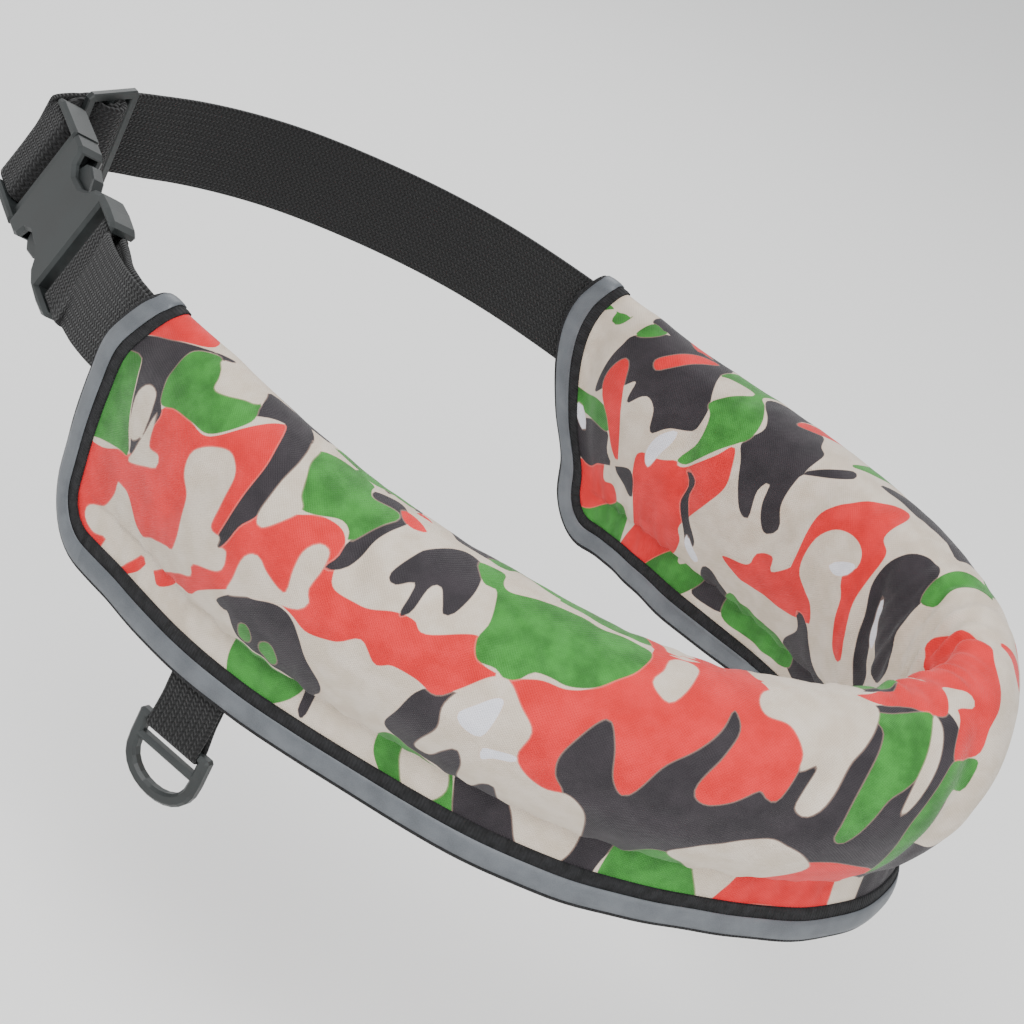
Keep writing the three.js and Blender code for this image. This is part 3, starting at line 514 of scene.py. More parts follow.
# Webbing
def spline(points, fine):
    """Centripetal Catmull-Rom through open points, `fine` steps a span, with its derivatives."""
    points = np.asarray(points, float)
    points = np.concatenate([[2 * points[0] - points[1]], points, [2 * points[-1] - points[-2]]])
    spans = len(points) - 3
    t = np.arange(spans * fine + 1) / fine
    i = np.minimum(np.floor(t).astype(int), spans - 1)
    return curve_span([points[i + k] for k in range(4)], (t - i)[:, None])


def webbing_frames(stations, fine):
    """Centres, ways along, across and out of a webbing through (centre, across) stations."""
    centres, along = spline([c for c, _ in stations], fine)
    along /= np.linalg.norm(along, axis=1, keepdims=True)
    places = np.arange(len(centres)) / fine
    given = np.array([a for _, a in stations])
    across = np.column_stack([np.interp(places, np.arange(len(given)), given[:, k]) for k in range(3)])
    across -= along * np.sum(across * along, axis=1, keepdims=True)
    across /= np.linalg.norm(across, axis=1, keepdims=True)
    return centres, along, across, np.cross(along, across)


def webbing_piece(name, stations, width, thickness, fine=6):
    """Flat webbing with rounded woven edges."""
    centres, along, across, out = webbing_frames(stations, fine)
    half = width / 2
    edge = thickness / 2
    face = np.linspace(-half + edge, half - edge, 15)
    turn = np.linspace(-90, 90, 7)[1:-1] * math.pi / 180
    selvedge = half - edge + edge * np.cos(turn)
    x = np.concatenate([face, selvedge, face[::-1], -selvedge])
    y = np.concatenate([face * 0 - edge, edge * np.sin(turn), face * 0 + edge, -edge * np.sin(turn)])
    points = centres[:, None] + across[:, None] * x[None, :, None] + out[:, None] * y[None, :, None]
    length = np.concatenate([[0], np.cumsum(np.linalg.norm(np.diff(centres, axis=0), axis=1))])
    mapped_across = (x + np.where(y > 0, 0.7, 0))[None, :]
    uv = np.stack(np.broadcast_arrays(length[:, None], mapped_across), axis=-1)
    faces = grid_faces(len(centres), len(x)).tolist()
    count = len(x)
    last = (len(centres) - 1) * count
    faces += [tuple(range(count)), tuple(range(last + count - 1, last - 1, -1))]
    return make_piece(name, points.reshape(-1, 3), faces, uv=uv.reshape(-1, 2) / 1000, angle=50)


# The camouflage print
# Patches on the cloth in millimetres: u along the pack, v up the front from its lower edge and
# on over the top and down the back. Each layer covers the ones before it.
camouflage_layers = [
    ("print_ground", ("#221d22", "#2e282d")),
    ("print_red", ("#cf1518", "#e2252a")),
    ("print_black", ("#221d22", "#2e282d")),
    ("print_green", ("#27681f", "#3a8c32")),
    ("print_sand", ("#c9baa7", "#d6c9b9")),
    ("print_red_over", ("#cf1518", "#e2252a")),
    ("print_pale", ("#d9d9e2", "#e4e4ec")),
]
# Read off the photograph, a corner at a time: the black field round the lower middle and
# the red field above it, then the patches on them. Comments say where on the pack a group lies.
camouflage_patches = {
    "print_ground": [
        # lower middle, and the hem at the bend
        [(167, 47), (170, 58), (173, 68), (178, 73), (190, 77), (210, 80), (222, 93), (240, 92),
         (252, 95), (263, 109), (275, 100), (290, 98), (300, 105), (313, 117), (325, 119),
         (340, 116), (346, 104), (345, 85), (343, 60), (352, 52), (372, 50), (392, 46), (394, -3),
         (345, -3), (340, 10), (335, 35), (320, 45), (300, 50), (280, 45), (262, 40), (255, 32),
         (248, 20), (240, -3), (203, -3), (196, 18), (190, 34), (178, 37), (170, 41)],
    ],
    "print_red": [
        # the red field of the near half
        [(-3, -3), (-3, 40), (8, 43), (20, 46), (31, 54), (37, 57), (42, 68), (45, 84), (52, 90),
         (60, 91), (70, 93), (80, 105), (86, 114), (90, 117), (97, 110), (104, 96), (112, 95),
         (120, 100), (128, 101), (132, 97), (133, 90), (136, 84), (146, 84), (156, 89), (163, 90),
         (168, 88), (183, 95), (187, 88), (197, 89), (206, 93), (214, 94), (221, 98), (228, 106),
         (233, 114), (235, 120), (237, 127), (242, 124), (250, 124), (262, 127), (274, 126),
         (278, 118), (276, 109), (283, 107), (288, 100), (288, 94), (284, 82), (280, 82),
         (277, 84), (270, 78), (263, 75), (259, 79), (264, 92), (267, 101), (264, 107), (261, 99),
         (256, 91), (248, 84), (243, 72), (240, 69), (236, 74), (233, 84), (229, 91), (225, 88),
         (220, 75), (221, 66), (225, 60), (219, 57), (212, 61), (208, 67), (210, 76), (203, 83),
         (197, 88), (192, 86), (185, 77), (179, 71), (171, 73), (163, 73), (158, 70), (151, 75),
         (144, 69), (134, 65), (127, 67), (120, 67), (110, 62), (100, 53), (90, 42), (86, 36),
         (76, 31), (73, 25), (67, 20), (62, 22), (59, 26), (55, 18), (46, 10), (30, -3)],
        # the hem at the bend
        [(303, 56), (313, 57), (326, 52), (331, 46), (326, 38), (332, 26), (333, 18), (336, -3),
         (284, -3), (287, 10), (293, 22), (297, 36), (303, 45), (306, 51)],
        # over the crease and round the bend
        [(311, 123), (320, 126), (330, 138), (340, 138), (347, 124), (349, 117), (344, 110),
         (338, 112), (334, 115), (329, 118), (320, 119)],
        [(404, 150), (396, 134), (390, 124), (382, 118), (374, 111), (368, 106), (362, 101),
         (358, 92), (349, 91), (343, 94), (343, 99), (348, 106), (349, 109), (356, 108),
         (358, 113), (352, 118), (347, 120), (350, 132), (360, 142), (375, 150), (392, 160)],
        [(412, 118), (408, 112), (400, 104), (403, 98), (409, 104), (413, 110)],
        [(395, 118), (396, 110), (394, 104), (390, 99), (388, 104), (390, 111)],
        # the inner face of the far half
        [(491, 162), (487, 155), (482, 150), (475, 142), (466, 134), (461, 140), (461, 150),
         (455, 154), (455, 166), (455, 178), (452, 190), (450, 202), (456, 203), (460, 190),
         (462, 180), (466, 173), (462, 166), (465, 160), (472, 159), (481, 163), (486, 172),
         (485, 187), (474, 195), (472, 203), (479, 202), (489, 192), (490, 178)],
        [(524, 203), (511, 200), (509, 193), (500, 188), (498, 194), (488, 186), (484, 190),
         (474, 202), (486, 208), (498, 207), (512, 209)],
        [(581, 181), (579, 173), (567, 172), (557, 168), (552, 157), (554, 163), (561, 171),
         (556, 173), (545, 163), (540, 156), (536, 163), (534, 173), (539, 184), (545, 194),
         (549, 202), (547, 210), (552, 222), (566, 232), (588, 232), (589, 222), (582, 211),
         (580, 195)],
        [(645, 200), (640, 190), (622, 182), (603, 181), (606, 190), (598, 192), (596, 198),
         (602, 201), (640, 206)],
    ],
    "print_black": [
        # the near end, from its top down
        [(9, 84), (12, 92), (18, 98), (25, 102), (37, 109), (44, 113), (50, 116), (46, 111),
         (41, 110), (34, 104), (36, 96), (38, 90), (43, 84), (46, 81), (43, 70), (38, 57),
         (36, 62), (30, 69), (25, 80), (20, 86), (13, 84)],
        [(76, 108), (75, 114), (70, 121), (80, 125), (90, 126), (98, 121), (101, 115), (104, 108),
         (103, 101), (103, 88), (99, 80), (97, 72), (94, 66), (93, 70), (94, 78), (95, 90),
         (95, 103), (89, 115), (84, 114)],
        [(99, 47), (107, 58), (113, 61), (121, 66), (127, 66), (132, 61), (136, 54), (142, 46),
         (143, 39), (140, 30), (139, 16), (136, 17), (135, 28), (128, 34), (118, 35), (109, 36),
         (105, 46), (102, 45)],
        [(132, 99), (135, 105), (138, 110), (140, 115), (138, 118), (129, 117), (127, 121),
         (136, 124), (143, 119), (143, 115), (141, 109), (139, 103), (138, 97), (136, 92),
         (133, 89), (130, 88), (132, 93)],
        [(152, 107), (154, 112), (160, 119), (166, 122), (172, 120), (174, 114), (175, 106),
         (173, 98), (170, 96), (168, 99), (165, 103), (162, 101), (161, 92), (158, 89), (158, 96),
         (157, 100), (152, 96), (149, 98)],
        # the inner face, from the bend to the far end
        [(484, 134), (472, 120), (460, 115), (448, 112), (436, 110), (428, 112), (437, 120),
         (438, 128), (443, 128), (450, 128), (460, 131), (470, 132)],
        [(441, 210), (447, 190), (449, 178), (453, 166), (452, 155), (447, 146), (440, 140),
         (432, 139), (427, 146), (427, 158), (427, 168), (423, 180), (430, 192), (438, 182),
         (442, 184), (438, 200)],
        [(480, 203), (472, 205), (466, 222), (458, 226), (465, 242), (483, 242), (485, 225),
         (478, 212)],
        [(532, 215), (524, 219), (518, 225), (518, 238), (536, 238), (535, 226)],
        [(545, 128), (541, 122), (534, 118), (527, 120), (528, 130), (518, 128), (512, 137),
         (507, 142), (508, 155), (508, 168), (505, 178), (510, 183), (515, 172), (517, 162),
         (520, 167), (518, 179), (523, 179), (529, 170), (534, 160), (538, 153), (534, 145),
         (537, 139), (542, 134)],
        [(509, 153), (500, 144), (494, 138), (491, 142), (500, 149)],
        [(608, 127), (600, 120), (590, 117), (578, 116), (567, 119), (567, 128), (563, 138),
         (559, 147), (560, 156), (570, 158), (577, 163), (580, 153), (586, 149), (593, 155),
         (593, 145), (598, 149), (606, 152), (614, 156), (611, 142), (609, 133)],
        [(632, 172), (619, 167), (601, 170), (600, 179), (590, 188), (581, 196), (582, 183),
         (600, 184), (625, 184), (634, 179)],
        [(556, 173), (551, 180), (552, 190), (546, 203), (543, 212), (539, 206), (545, 196),
         (549, 186), (548, 177)],
    ],
    "print_green": [
        # the near end and along its top
        [(2, 74), (8, 80), (13, 84), (20, 86), (25, 79), (28, 72), (31, 66), (37, 57), (31, 54),
         (18, 48), (8, 45), (3, 55)],
        [(36, 95), (34, 104), (41, 110), (46, 111), (54, 107), (57, 104), (63, 106), (69, 110),
         (74, 114), (76, 112), (79, 106), (70, 94), (60, 91), (50, 88), (43, 84), (38, 90)],
        [(103, 119), (112, 124), (124, 124), (126, 120), (129, 117), (138, 118), (140, 115),
         (138, 110), (135, 104), (132, 99), (130, 102), (126, 103), (118, 99), (113, 98),
         (110, 102), (108, 107), (104, 113)],
        [(170, 121), (179, 122), (181, 116), (185, 114), (194, 118), (202, 121), (210, 122),
         (217, 122), (224, 123), (235, 121), (232, 110), (226, 103), (221, 98), (214, 95),
         (208, 95), (203, 94), (200, 90), (196, 88), (192, 89), (186, 88), (183, 94), (184, 100),
         (182, 108), (180, 112), (176, 112), (173, 115)],
        # along its hem
        [(109, 34), (115, 34), (122, 34), (129, 31), (135, 27), (132, 19), (125, 12), (117, 9),
         (110, 10), (106, 18), (106, 28)],
        [(110, 38), (113, 37), (115, 42), (113, 47), (110, 45)],
        [(119, 38), (124, 36), (126, 41), (123, 47), (119, 44)],
        [(169, 40), (165, 32), (165, 20), (172, 12), (184, 6), (199, 6), (196, 18), (191, 29),
         (182, 36), (176, 38)],
        [(258, 43), (265, 44), (272, 34), (280, 22), (285, 12), (286, -3), (248, -3), (248, 10),
         (249, 22), (252, 33)],
        # the outside of the bend
        [(313, 115), (322, 115), (331, 115), (337, 113), (336, 107), (333, 101), (329, 95),
         (324, 90), (319, 86), (316, 79), (313, 72), (310, 68), (307, 70), (307, 76), (308, 84),
         (311, 94), (315, 104), (316, 109)],
        [(344, 94), (350, 91), (358, 90), (357, 84), (354, 78), (348, 80), (343, 79), (342, 73),
         (341, 66), (340, 58), (335, 50), (331, 44), (330, 52), (330, 63), (330, 74), (333, 82),
         (337, 89), (341, 94)],
        [(428, 150), (430, 138), (430, 126), (424, 116), (416, 110), (414, 113), (419, 122),
         (422, 132), (421, 145)],
        # the inner face of the far half
        [(518, 222), (508, 223), (495, 224), (486, 226), (482, 242), (500, 242), (520, 240)],
        [(509, 121), (502, 118), (495, 116), (487, 115), (483, 118), (488, 128), (495, 135),
         (498, 135), (497, 128), (498, 122), (504, 121)],
        [(567, 128), (565, 118), (560, 115), (550, 116), (543, 118), (547, 128), (543, 133),
         (537, 142), (536, 150), (540, 155), (545, 160), (552, 168), (557, 172), (561, 170),
         (556, 162), (555, 155), (557, 148), (561, 143), (557, 138), (550, 131), (553, 128),
         (563, 127)],
        [(640, 206), (602, 201), (596, 199), (590, 203), (590, 218), (592, 240), (614, 240),
         (636, 226)],
        [(634, 160), (628, 158), (614, 158), (602, 162), (601, 170), (619, 166), (630, 165)],
        [(634, 122), (628, 114), (620, 108), (616, 117), (617, 124), (622, 124), (624, 118),
         (630, 124), (638, 130)],
        [(608, 125), (606, 116), (600, 116), (600, 122), (605, 126)],
        [(552, 222), (548, 228), (540, 224), (534, 230), (545, 244), (566, 242), (566, 232)],
    ],
    "print_sand": [
        # on the red field of the near end
        [(30, 80), (33, 84), (38, 84), (41, 77), (41, 69), (38, 64), (34, 63), (31, 68), (29, 75)],
        [(44, 81), (46, 72), (48, 69), (54, 71), (55, 67), (50, 63), (38, 55), (40, 61), (42, 69)],
        [(38, 44), (43, 45), (48, 41), (51, 36), (55, 35), (60, 39), (65, 42), (70, 45), (74, 47),
         (76, 57), (73, 68), (69, 77), (68, 84), (71, 89), (76, 93), (81, 95), (85, 93), (88, 89),
         (89, 80), (89, 71), (94, 71), (94, 67), (98, 69), (98, 60), (86, 52), (86, 46), (79, 40),
         (68, 29), (60, 22), (54, 24), (50, 19), (42, 9), (36, 8), (33, 12), (34, 18), (27, 16),
         (21, 18), (21, 23), (29, 28), (34, 37), (35, 43)],
        [(46, 111), (51, 115), (60, 120), (67, 121), (72, 118), (74, 113), (69, 110), (63, 106),
         (57, 104), (54, 107), (51, 109)],
        [(98, 121), (103, 119), (105, 112), (109, 105), (111, 101), (114, 98), (112, 93),
         (106, 85), (103, 87), (103, 95), (103, 101), (103, 108), (101, 115)],
        [(103, 54), (104, 63), (105, 72), (108, 76), (111, 76), (114, 74), (120, 72), (123, 73),
         (122, 81), (122, 88), (125, 93), (129, 93), (130, 87), (129, 79), (131, 75), (128, 70),
         (120, 66), (112, 61)],
        # on the black field and the red above it
        [(187, 79), (194, 86), (198, 88), (204, 83), (210, 77), (209, 67), (213, 61), (220, 58),
         (227, 60), (233, 54), (236, 42), (238, 22), (234, 11), (228, 8), (221, 13), (216, 22),
         (210, 32), (207, 44), (203, 42), (199, 31), (195, 36), (195, 48), (192, 55), (188, 50),
         (184, 42), (179, 42), (180, 49), (184, 60), (183, 70)],
        [(174, 24), (177, 33), (184, 32), (190, 28), (193, 19), (187, 11), (180, 12)],
        [(242, 121), (248, 123), (252, 120), (251, 115), (248, 108), (244, 103), (240, 104),
         (237, 108), (240, 114)],
        [(276, 119), (284, 122), (294, 126), (303, 126), (313, 122), (317, 117), (314, 110),
         (309, 102), (305, 96), (302, 86), (299, 79), (295, 76), (291, 79), (292, 86), (294, 94),
         (288, 92), (288, 98), (283, 106), (275, 108), (273, 113)],
        [(262, 46), (270, 57), (285, 66), (294, 64), (301, 60), (306, 53), (303, 45), (296, 38),
         (293, 28), (292, 20), (285, 12), (281, 18), (274, 31), (267, 40)],
        [(294, -3), (296, 9), (301, 13), (307, 14), (315, 13), (322, 9), (326, -3)],
        [(333, 25), (340, 30), (347, 30), (347, 22), (346, 12), (346, -3), (336, -3)],
        [(338, 112), (339, 107), (336, 98), (332, 90), (328, 83), (325, 80), (325, 85), (327, 92),
         (331, 100), (335, 108)],
    ],
    "print_red_over": [
        [(9, 92), (5, 98), (8, 106), (12, 118), (24, 122), (37, 112), (25, 102), (17, 97)],
        [(138, 121), (143, 122), (150, 119), (146, 116), (141, 117)],
        [(604, 138), (600, 140), (597, 150), (594, 162), (592, 174), (592, 181), (597, 176),
         (602, 165), (608, 156), (609, 148)],
        [(592, 133), (588, 128), (582, 122), (577, 120), (573, 120), (574, 123), (579, 128),
         (585, 134), (589, 137)],
        [(528, 130), (527, 125), (522, 121), (514, 119), (510, 119), (516, 126), (526, 133)],
    ],
    "print_pale": [
        [(192, 76), (196, 81), (199, 82), (199, 74), (197, 66), (191, 66), (188, 70)],
        [(199, 62), (203, 64), (209, 66), (209, 63), (203, 60), (200, 57)],
        [(626, 163), (622, 167), (622, 172), (626, 172), (629, 167)],
        [(567, 158), (566, 163), (569, 170), (573, 178), (576, 172), (573, 163)],
        [(474, 174), (468, 168), (463, 166), (464, 171), (470, 176)],
        [(446, 166), (445, 176), (441, 187), (439, 182), (442, 172)],
        [(544, 204), (541, 207), (536, 214), (538, 217), (544, 210)],
    ],
}
mirror_front = 405  # past it the hidden front face shows the inner face's print turned over
mirror_back = 335  # before it the hidden back face shows the front face's print turned over
print_ridge = 122  # where the cloth goes over the top, and the print is turned over
ridge_margin = 4  # the print stays as charted this near the ridge
print_reach = 3.0  # the distance to a patch's edge is worked out as far as this


def smooth_outline(corners, fine=6):
    """A closed smooth curve through the corners of a patch."""
    corners = np.asarray(corners, float)
    count = len(corners)
    t = np.arange(count * fine) / fine
    i = np.floor(t).astype(int)
    w = (t - i)[:, None]
    p0, p1, p2, p3 = (corners[(i + k) % count] for k in (-1, 0, 1, 2))
    return 0.5 * (
        2 * p1 + (p2 - p0) * w + (2 * p0 - 5 * p1 + 4 * p2 - p3) * w**2
        + (3 * p1 - p0 - 3 * p2 + p3) * w**3
    )


def patch_field(u, v, outline, reach):
    """Distance to a patch's edge in millimetres, positive inside, no less than -reach."""
    low, high = outline.min(axis=0) - reach, outline.max(axis=0) + reach
    field = np.full(u.shape, -float(reach))
    near = (u > low[0]) & (u < high[0]) & (v > low[1]) & (v < high[1])
    x, y = u[near][:, None], v[near][:, None]
    a, b = outline, np.roll(outline, -1, axis=0)
    ab = b - a
    share = ((x - a[:, 0]) * ab[:, 0] + (y - a[:, 1]) * ab[:, 1]) / np.maximum(np.sum(ab**2, axis=1), 1e-9)
    share = np.clip(share, 0, 1)
    distance = np.hypot(x - a[:, 0] - share * ab[:, 0], y - a[:, 1] - share * ab[:, 1]).min(axis=1)
    rises = (a[:, 1] > y) != (b[:, 1] > y)
    cross = a[:, 0] + (y - a[:, 1]) / np.where(ab[:, 1] == 0, 1e-9, ab[:, 1]) * ab[:, 0]
    inside = np.sum(rises & (x < cross), axis=1) % 2 == 1
    field[near] = np.maximum(np.where(inside, distance, -distance), -reach)
    return field


def camouflage_fields(u, v):
    """For each layer of the print, the distance to its patches' edges in metres."""
    fields = {}
    front_turned = (u > mirror_front) & (v < print_ridge - ridge_margin)
    back_turned = (u < mirror_back) & (v > print_ridge + ridge_margin)
    v = np.where(front_turned | back_turned, 2 * print_ridge - v, v)
    for layer, patches in camouflage_patches.items():
        field = np.full(u.shape, -print_reach)
        for corners in patches:
            field = np.maximum(field, patch_field(u, v, smooth_outline(corners), print_reach))
        fields[layer] = field / 1000
    return fields


# Colours and materials
def colour(text):
    """Linear RGBA of an sRGB hex colour."""
    parts = [int(text[i:i + 2], 16) / 255 for i in (1, 3, 5)]
    linear = [c / 12.92 if c <= 0.04045 else ((c + 0.055) / 1.055) ** 2.4 for c in parts]
    return (*linear, 1)


def new_material(name):
    material = bpy.data.materials.new(name)
    material.use_nodes = True
    material.node_tree.nodes.clear()
    return material, material.node_tree


def add(tree, kind, inputs=None, **settings):
    """Adds a node, sets its settings, and fills or links its inputs."""
    node = tree.nodes.new(kind)
    for key, value in settings.items():
        setattr(node, key, value)
    for key, value in (inputs or {}).items():
        socket = node.inputs[key]
        if isinstance(value, bpy.types.NodeSocket):
            tree.links.new(value, socket)
        else:
            socket.default_value = value
    return node


def finish_material(tree, shader_inputs, height=None, strength=1.0, distance=0.0004):
    """The shader and output of a material, with a bump from a height if there is one."""
    if height is not None:
        bump = add(tree, "ShaderNodeBump", {"Height": height, "Strength": strength, "Distance": distance})
        shader_inputs["Normal"] = bump.outputs["Normal"]
    shader = add(tree, "ShaderNodeBsdfPrincipled", shader_inputs)
    add(tree, "ShaderNodeOutputMaterial", {"Surface": shader.outputs["BSDF"]})


def sine_of(tree, value, pitch, shift=0.0):
    """A sine between -1 and 1 of a coordinate, one wave per pitch metres."""
    pace = 2 * math.pi / pitch
    scaled = add(tree, "ShaderNodeMath", {0: value, 1: pace, 2: shift}, operation="MULTIPLY_ADD")
    return add(tree, "ShaderNodeMath", {0: scaled.outputs[0]}, operation="SINE").outputs[0]


def maths(tree, operation, *values):
    return add(tree, "ShaderNodeMath", dict(enumerate(values)), operation=operation).outputs[0]


def mix(tree, factor, first, second):
    node = add(tree, "ShaderNodeMix", {0: factor, 6: first, 7: second}, data_type="RGBA")
    return node.outputs[2]


def cloth_axes(tree):
    """U and V of the piece's own cloth map, in metres."""
    uv = add(tree, "ShaderNodeUVMap", uv_map="cloth")
    split = add(tree, "ShaderNodeSeparateXYZ", {0: uv.outputs[0]})
    return uv.outputs[0], split.outputs[0], split.outputs[1]


def noise_of(tree, vector, scale, detail=3.0, roughness=0.55):
    node = add(
        tree, "ShaderNodeTexNoise",
        {"Vector": vector, "Scale": scale, "Detail": detail, "Roughness": roughness},
    )
    return node.outputs[0]


def ramp_of(tree, value, low, high, to_low=0.0, to_high=1.0):
    node = add(
        tree, "ShaderNodeMapRange",
        {0: value, 1: low, 2: high, 3: to_low, 4: to_high}, interpolation_type="SMOOTHSTEP",
    )
    return node.outputs[0]


# Printed polyester oxford: flat-woven yarn with the camouflage printed on it, so the eye sees
# crisp patches, a fine even weave and a soft sheen on the crowns of the folds.
def printed_oxford():
    material, tree = new_material("printed_polyester_oxford")
    uv, u, v = cloth_axes(tree)
    yarn = 0.0011  # coarser than the real 0.5 mm yarn, so that the weave shows
    warp = sine_of(tree, u, yarn)
    weft = sine_of(tree, v, yarn)
    weave = maths(tree, "MULTIPLY", warp, weft)
    cloud = noise_of(tree, uv, 90)
    base = mix(tree, ramp_of(tree, cloud, 0.35, 0.65), colour("#c9baa7"), colour("#d6c9b9"))
    edge = 0.00022  # how soft the print's edge is
    for layer, shade in camouflage_layers:
        field = add(tree, "ShaderNodeAttribute", attribute_name=layer).outputs["Fac"]
        halo = ramp_of(tree, field, -0.0007, -0.0002)
        halo = maths(tree, "MULTIPLY", halo, 0.22)
        base = mix(tree, halo, base, colour("#e0b9a4"))
        patch = mix(tree, ramp_of(tree, cloud, 0.3, 0.7), colour(shade[0]), colour(shade[1]))
        base = mix(tree, ramp_of(tree, field, -edge, edge), base, patch)
    # Painted shade: the colour darkens by up to a tenth towards black in the hollows of the weave, where its
    # height is low
    painted_weave_shade = mix(tree, ramp_of(tree, weave, -1.0, 1.0, 0.10, 0.0), base, (0, 0, 0, 1))
    rough = ramp_of(tree, noise_of(tree, uv, 240), 0.2, 0.8, 0.62, 0.74)
    finish_material(
        tree,
        {
            "Base Color": painted_weave_shade, "Roughness": rough, "Specular IOR Level": 0.35,
            "Sheen Weight": 0.12, "Sheen Roughness": 0.4,
        },
        height=weave, strength=0.5, distance=0.00018,
    )
    return material


# Grosgrain tape: polyester with ribs across its width, dull black
def grosgrain():
    material, tree = new_material("black_grosgrain_tape")
    uv, u, _ = cloth_axes(tree)
    rib = sine_of(tree, u, 0.0013)
    shade = mix(tree, ramp_of(tree, noise_of(tree, uv, 300), 0.3, 0.7), colour("#161617"), colour("#242426"))
    finish_material(
        tree, {"Base Color": shade, "Roughness": 0.8, "Specular IOR Level": 0.3},
        height=rib, strength=0.7, distance=0.00025,
    )
    return material


# Retroreflective tape: glass beads bonded to cloth, flat grey until a lamp stands at the eye
def reflective_tape():
    material, tree = new_material("retroreflective_bead_tape")
    uv, _, _ = cloth_axes(tree)
    beads = noise_of(tree, uv, 2600, 2.0)
    wear = noise_of(tree, uv, 70, 4.0)
    grey = mix(tree, ramp_of(tree, wear, 0.3, 0.7), colour("#4f5358"), colour("#62666b"))
    grey = mix(tree, ramp_of(tree, beads, 0.35, 0.65, 0.0, 0.2), grey, colour("#7d8186"))
    finish_material(
        tree, {"Base Color": grey, "Roughness": 0.5, "Metallic": 0.25, "Specular IOR Level": 0.5},
        height=beads, strength=0.25, distance=0.0002,
    )
    return material


# Polyester webbing: plain-woven with heavy weft, so ribs run across in chevron columns
def black_webbing():
    material, tree = new_material("black_polyester_webbing")
    uv, u, v = cloth_axes(tree)
    column = maths(tree, "PINGPONG", v, 0.0014)
    slanted = maths(tree, "ADD", u, maths(tree, "MULTIPLY", column, 0.9))
    rib = sine_of(tree, slanted, 0.0019)
    groove = sine_of(tree, v, 0.0014)
    height = maths(tree, "ADD", rib, maths(tree, "MULTIPLY", groove, 0.45))
    fuzz = noise_of(tree, uv, 900)
    # Painted shade and painted highlight: the colour is darkest in the grooves and lightest on the crowns of
    # the ribs, following their height
    shade = mix(tree, ramp_of(tree, height, -1.2, 1.3), colour("#060606"), colour("#1d1d1e"))
    shade = mix(tree, ramp_of(tree, fuzz, 0.5, 0.75, 0.0, 0.3), shade, colour("#2c2c2e"))
    finish_material(
        tree, {"Base Color": shade, "Roughness": 0.78, "Specular IOR Level": 0.3, "Sheen Weight": 0.08},
        height=height, strength=0.8, distance=0.0004,
    )
    return material


# Acetal: injection-moulded, a fine spark-eroded grain with a soft satin gloss
def moulded_acetal():
    material, tree = new_material("black_moulded_acetal")
    where = add(tree, "ShaderNodeTexCoord").outputs["Object"]
    grain = noise_of(tree, where, 2200, 2.0)
    flow = noise_of(tree, where, 60, 3.0)
    shade = mix(tree, ramp_of(tree, flow, 0.3, 0.7), colour("#1f2222"), colour("#2b2f2f"))
    rough = ramp_of(tree, flow, 0.25, 0.75, 0.38, 0.5)
    finish_material(
        tree, {"Base Color": shade, "Roughness": rough, "Specular IOR Level": 0.45, "IOR": 1.48},
        height=grain, strength=0.22, distance=0.0002,
    )
    return material


# The pieces
def finish_piece(obj, material, body, slot, *nodes):
    obj.data.materials.clear()
    obj.data.materials.append(material)
    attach(obj, body)
    if nodes:
        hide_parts(*nodes)
    return obj


# The belt's frames, as in the part: x along it, y out of the loop and z down the webbing
def belt_frame(s):
    """Centre, and the ways along the belt, out of the loop and down its width, at length s."""
    point, along, out, lean, level = line_at(np.float64(s))
    slope = (line_at(np.float64(s + 1))[4] - line_at(np.float64(s - 1))[4]) / 2
    along = np.append(along, slope)
    along /= np.linalg.norm(along)
    up = np.append(-lean * out, 1.0)
    up -= along * (up @ along)
    up /= np.linalg.norm(up)
    return np.append(point, level), along, np.cross(along, up), -up


def station_in(belt, x, y):
    centre, along, out, down = belt
    return centre + along * x + out * y, down


plug_length = 27
shield_length = 46
ear_length = 17
bar_width = 5
bar_depth = 4
plug_bar_width = 9
slot_length = 7
slider_length = 27
slider_rail = 4
slider_depth = 3
near_pocket_depth = 70
far_pocket_depth = 95
ring_drop = 22
ring_tuck = 20
ring_bar = 3.2
plug_bar_inset = 3
station_step = 13
slider_reach = slider_length * 1.2
buckle_frame = belt_frame(buckle_s)
buckle_length = plug_length + shield_length + ear_length
plug_start = -buckle_length / 2
shield_end = plug_start + plug_length + shield_length
ear_end = shield_end + ear_length
socket_bar_start = shield_end + slot_length
socket_bar_end = socket_bar_start + bar_width
plug_bar_start = plug_start + plug_bar_inset
plug_bar_end = plug_bar_start + plug_bar_width
wrap = bar_depth / 2 + gap + webbing_thickness / 2
rail_pass = slider_depth / 2 + gap + webbing_thickness / 2
loop_radius = slider_depth / 2 + gap + webbing_thickness / 2
layer = webbing_thickness + gap
slider_frame = belt_frame(slider_s)
slider_frame = (slider_frame[0] - slider_frame[2] * rail_pass, *slider_frame[1:])


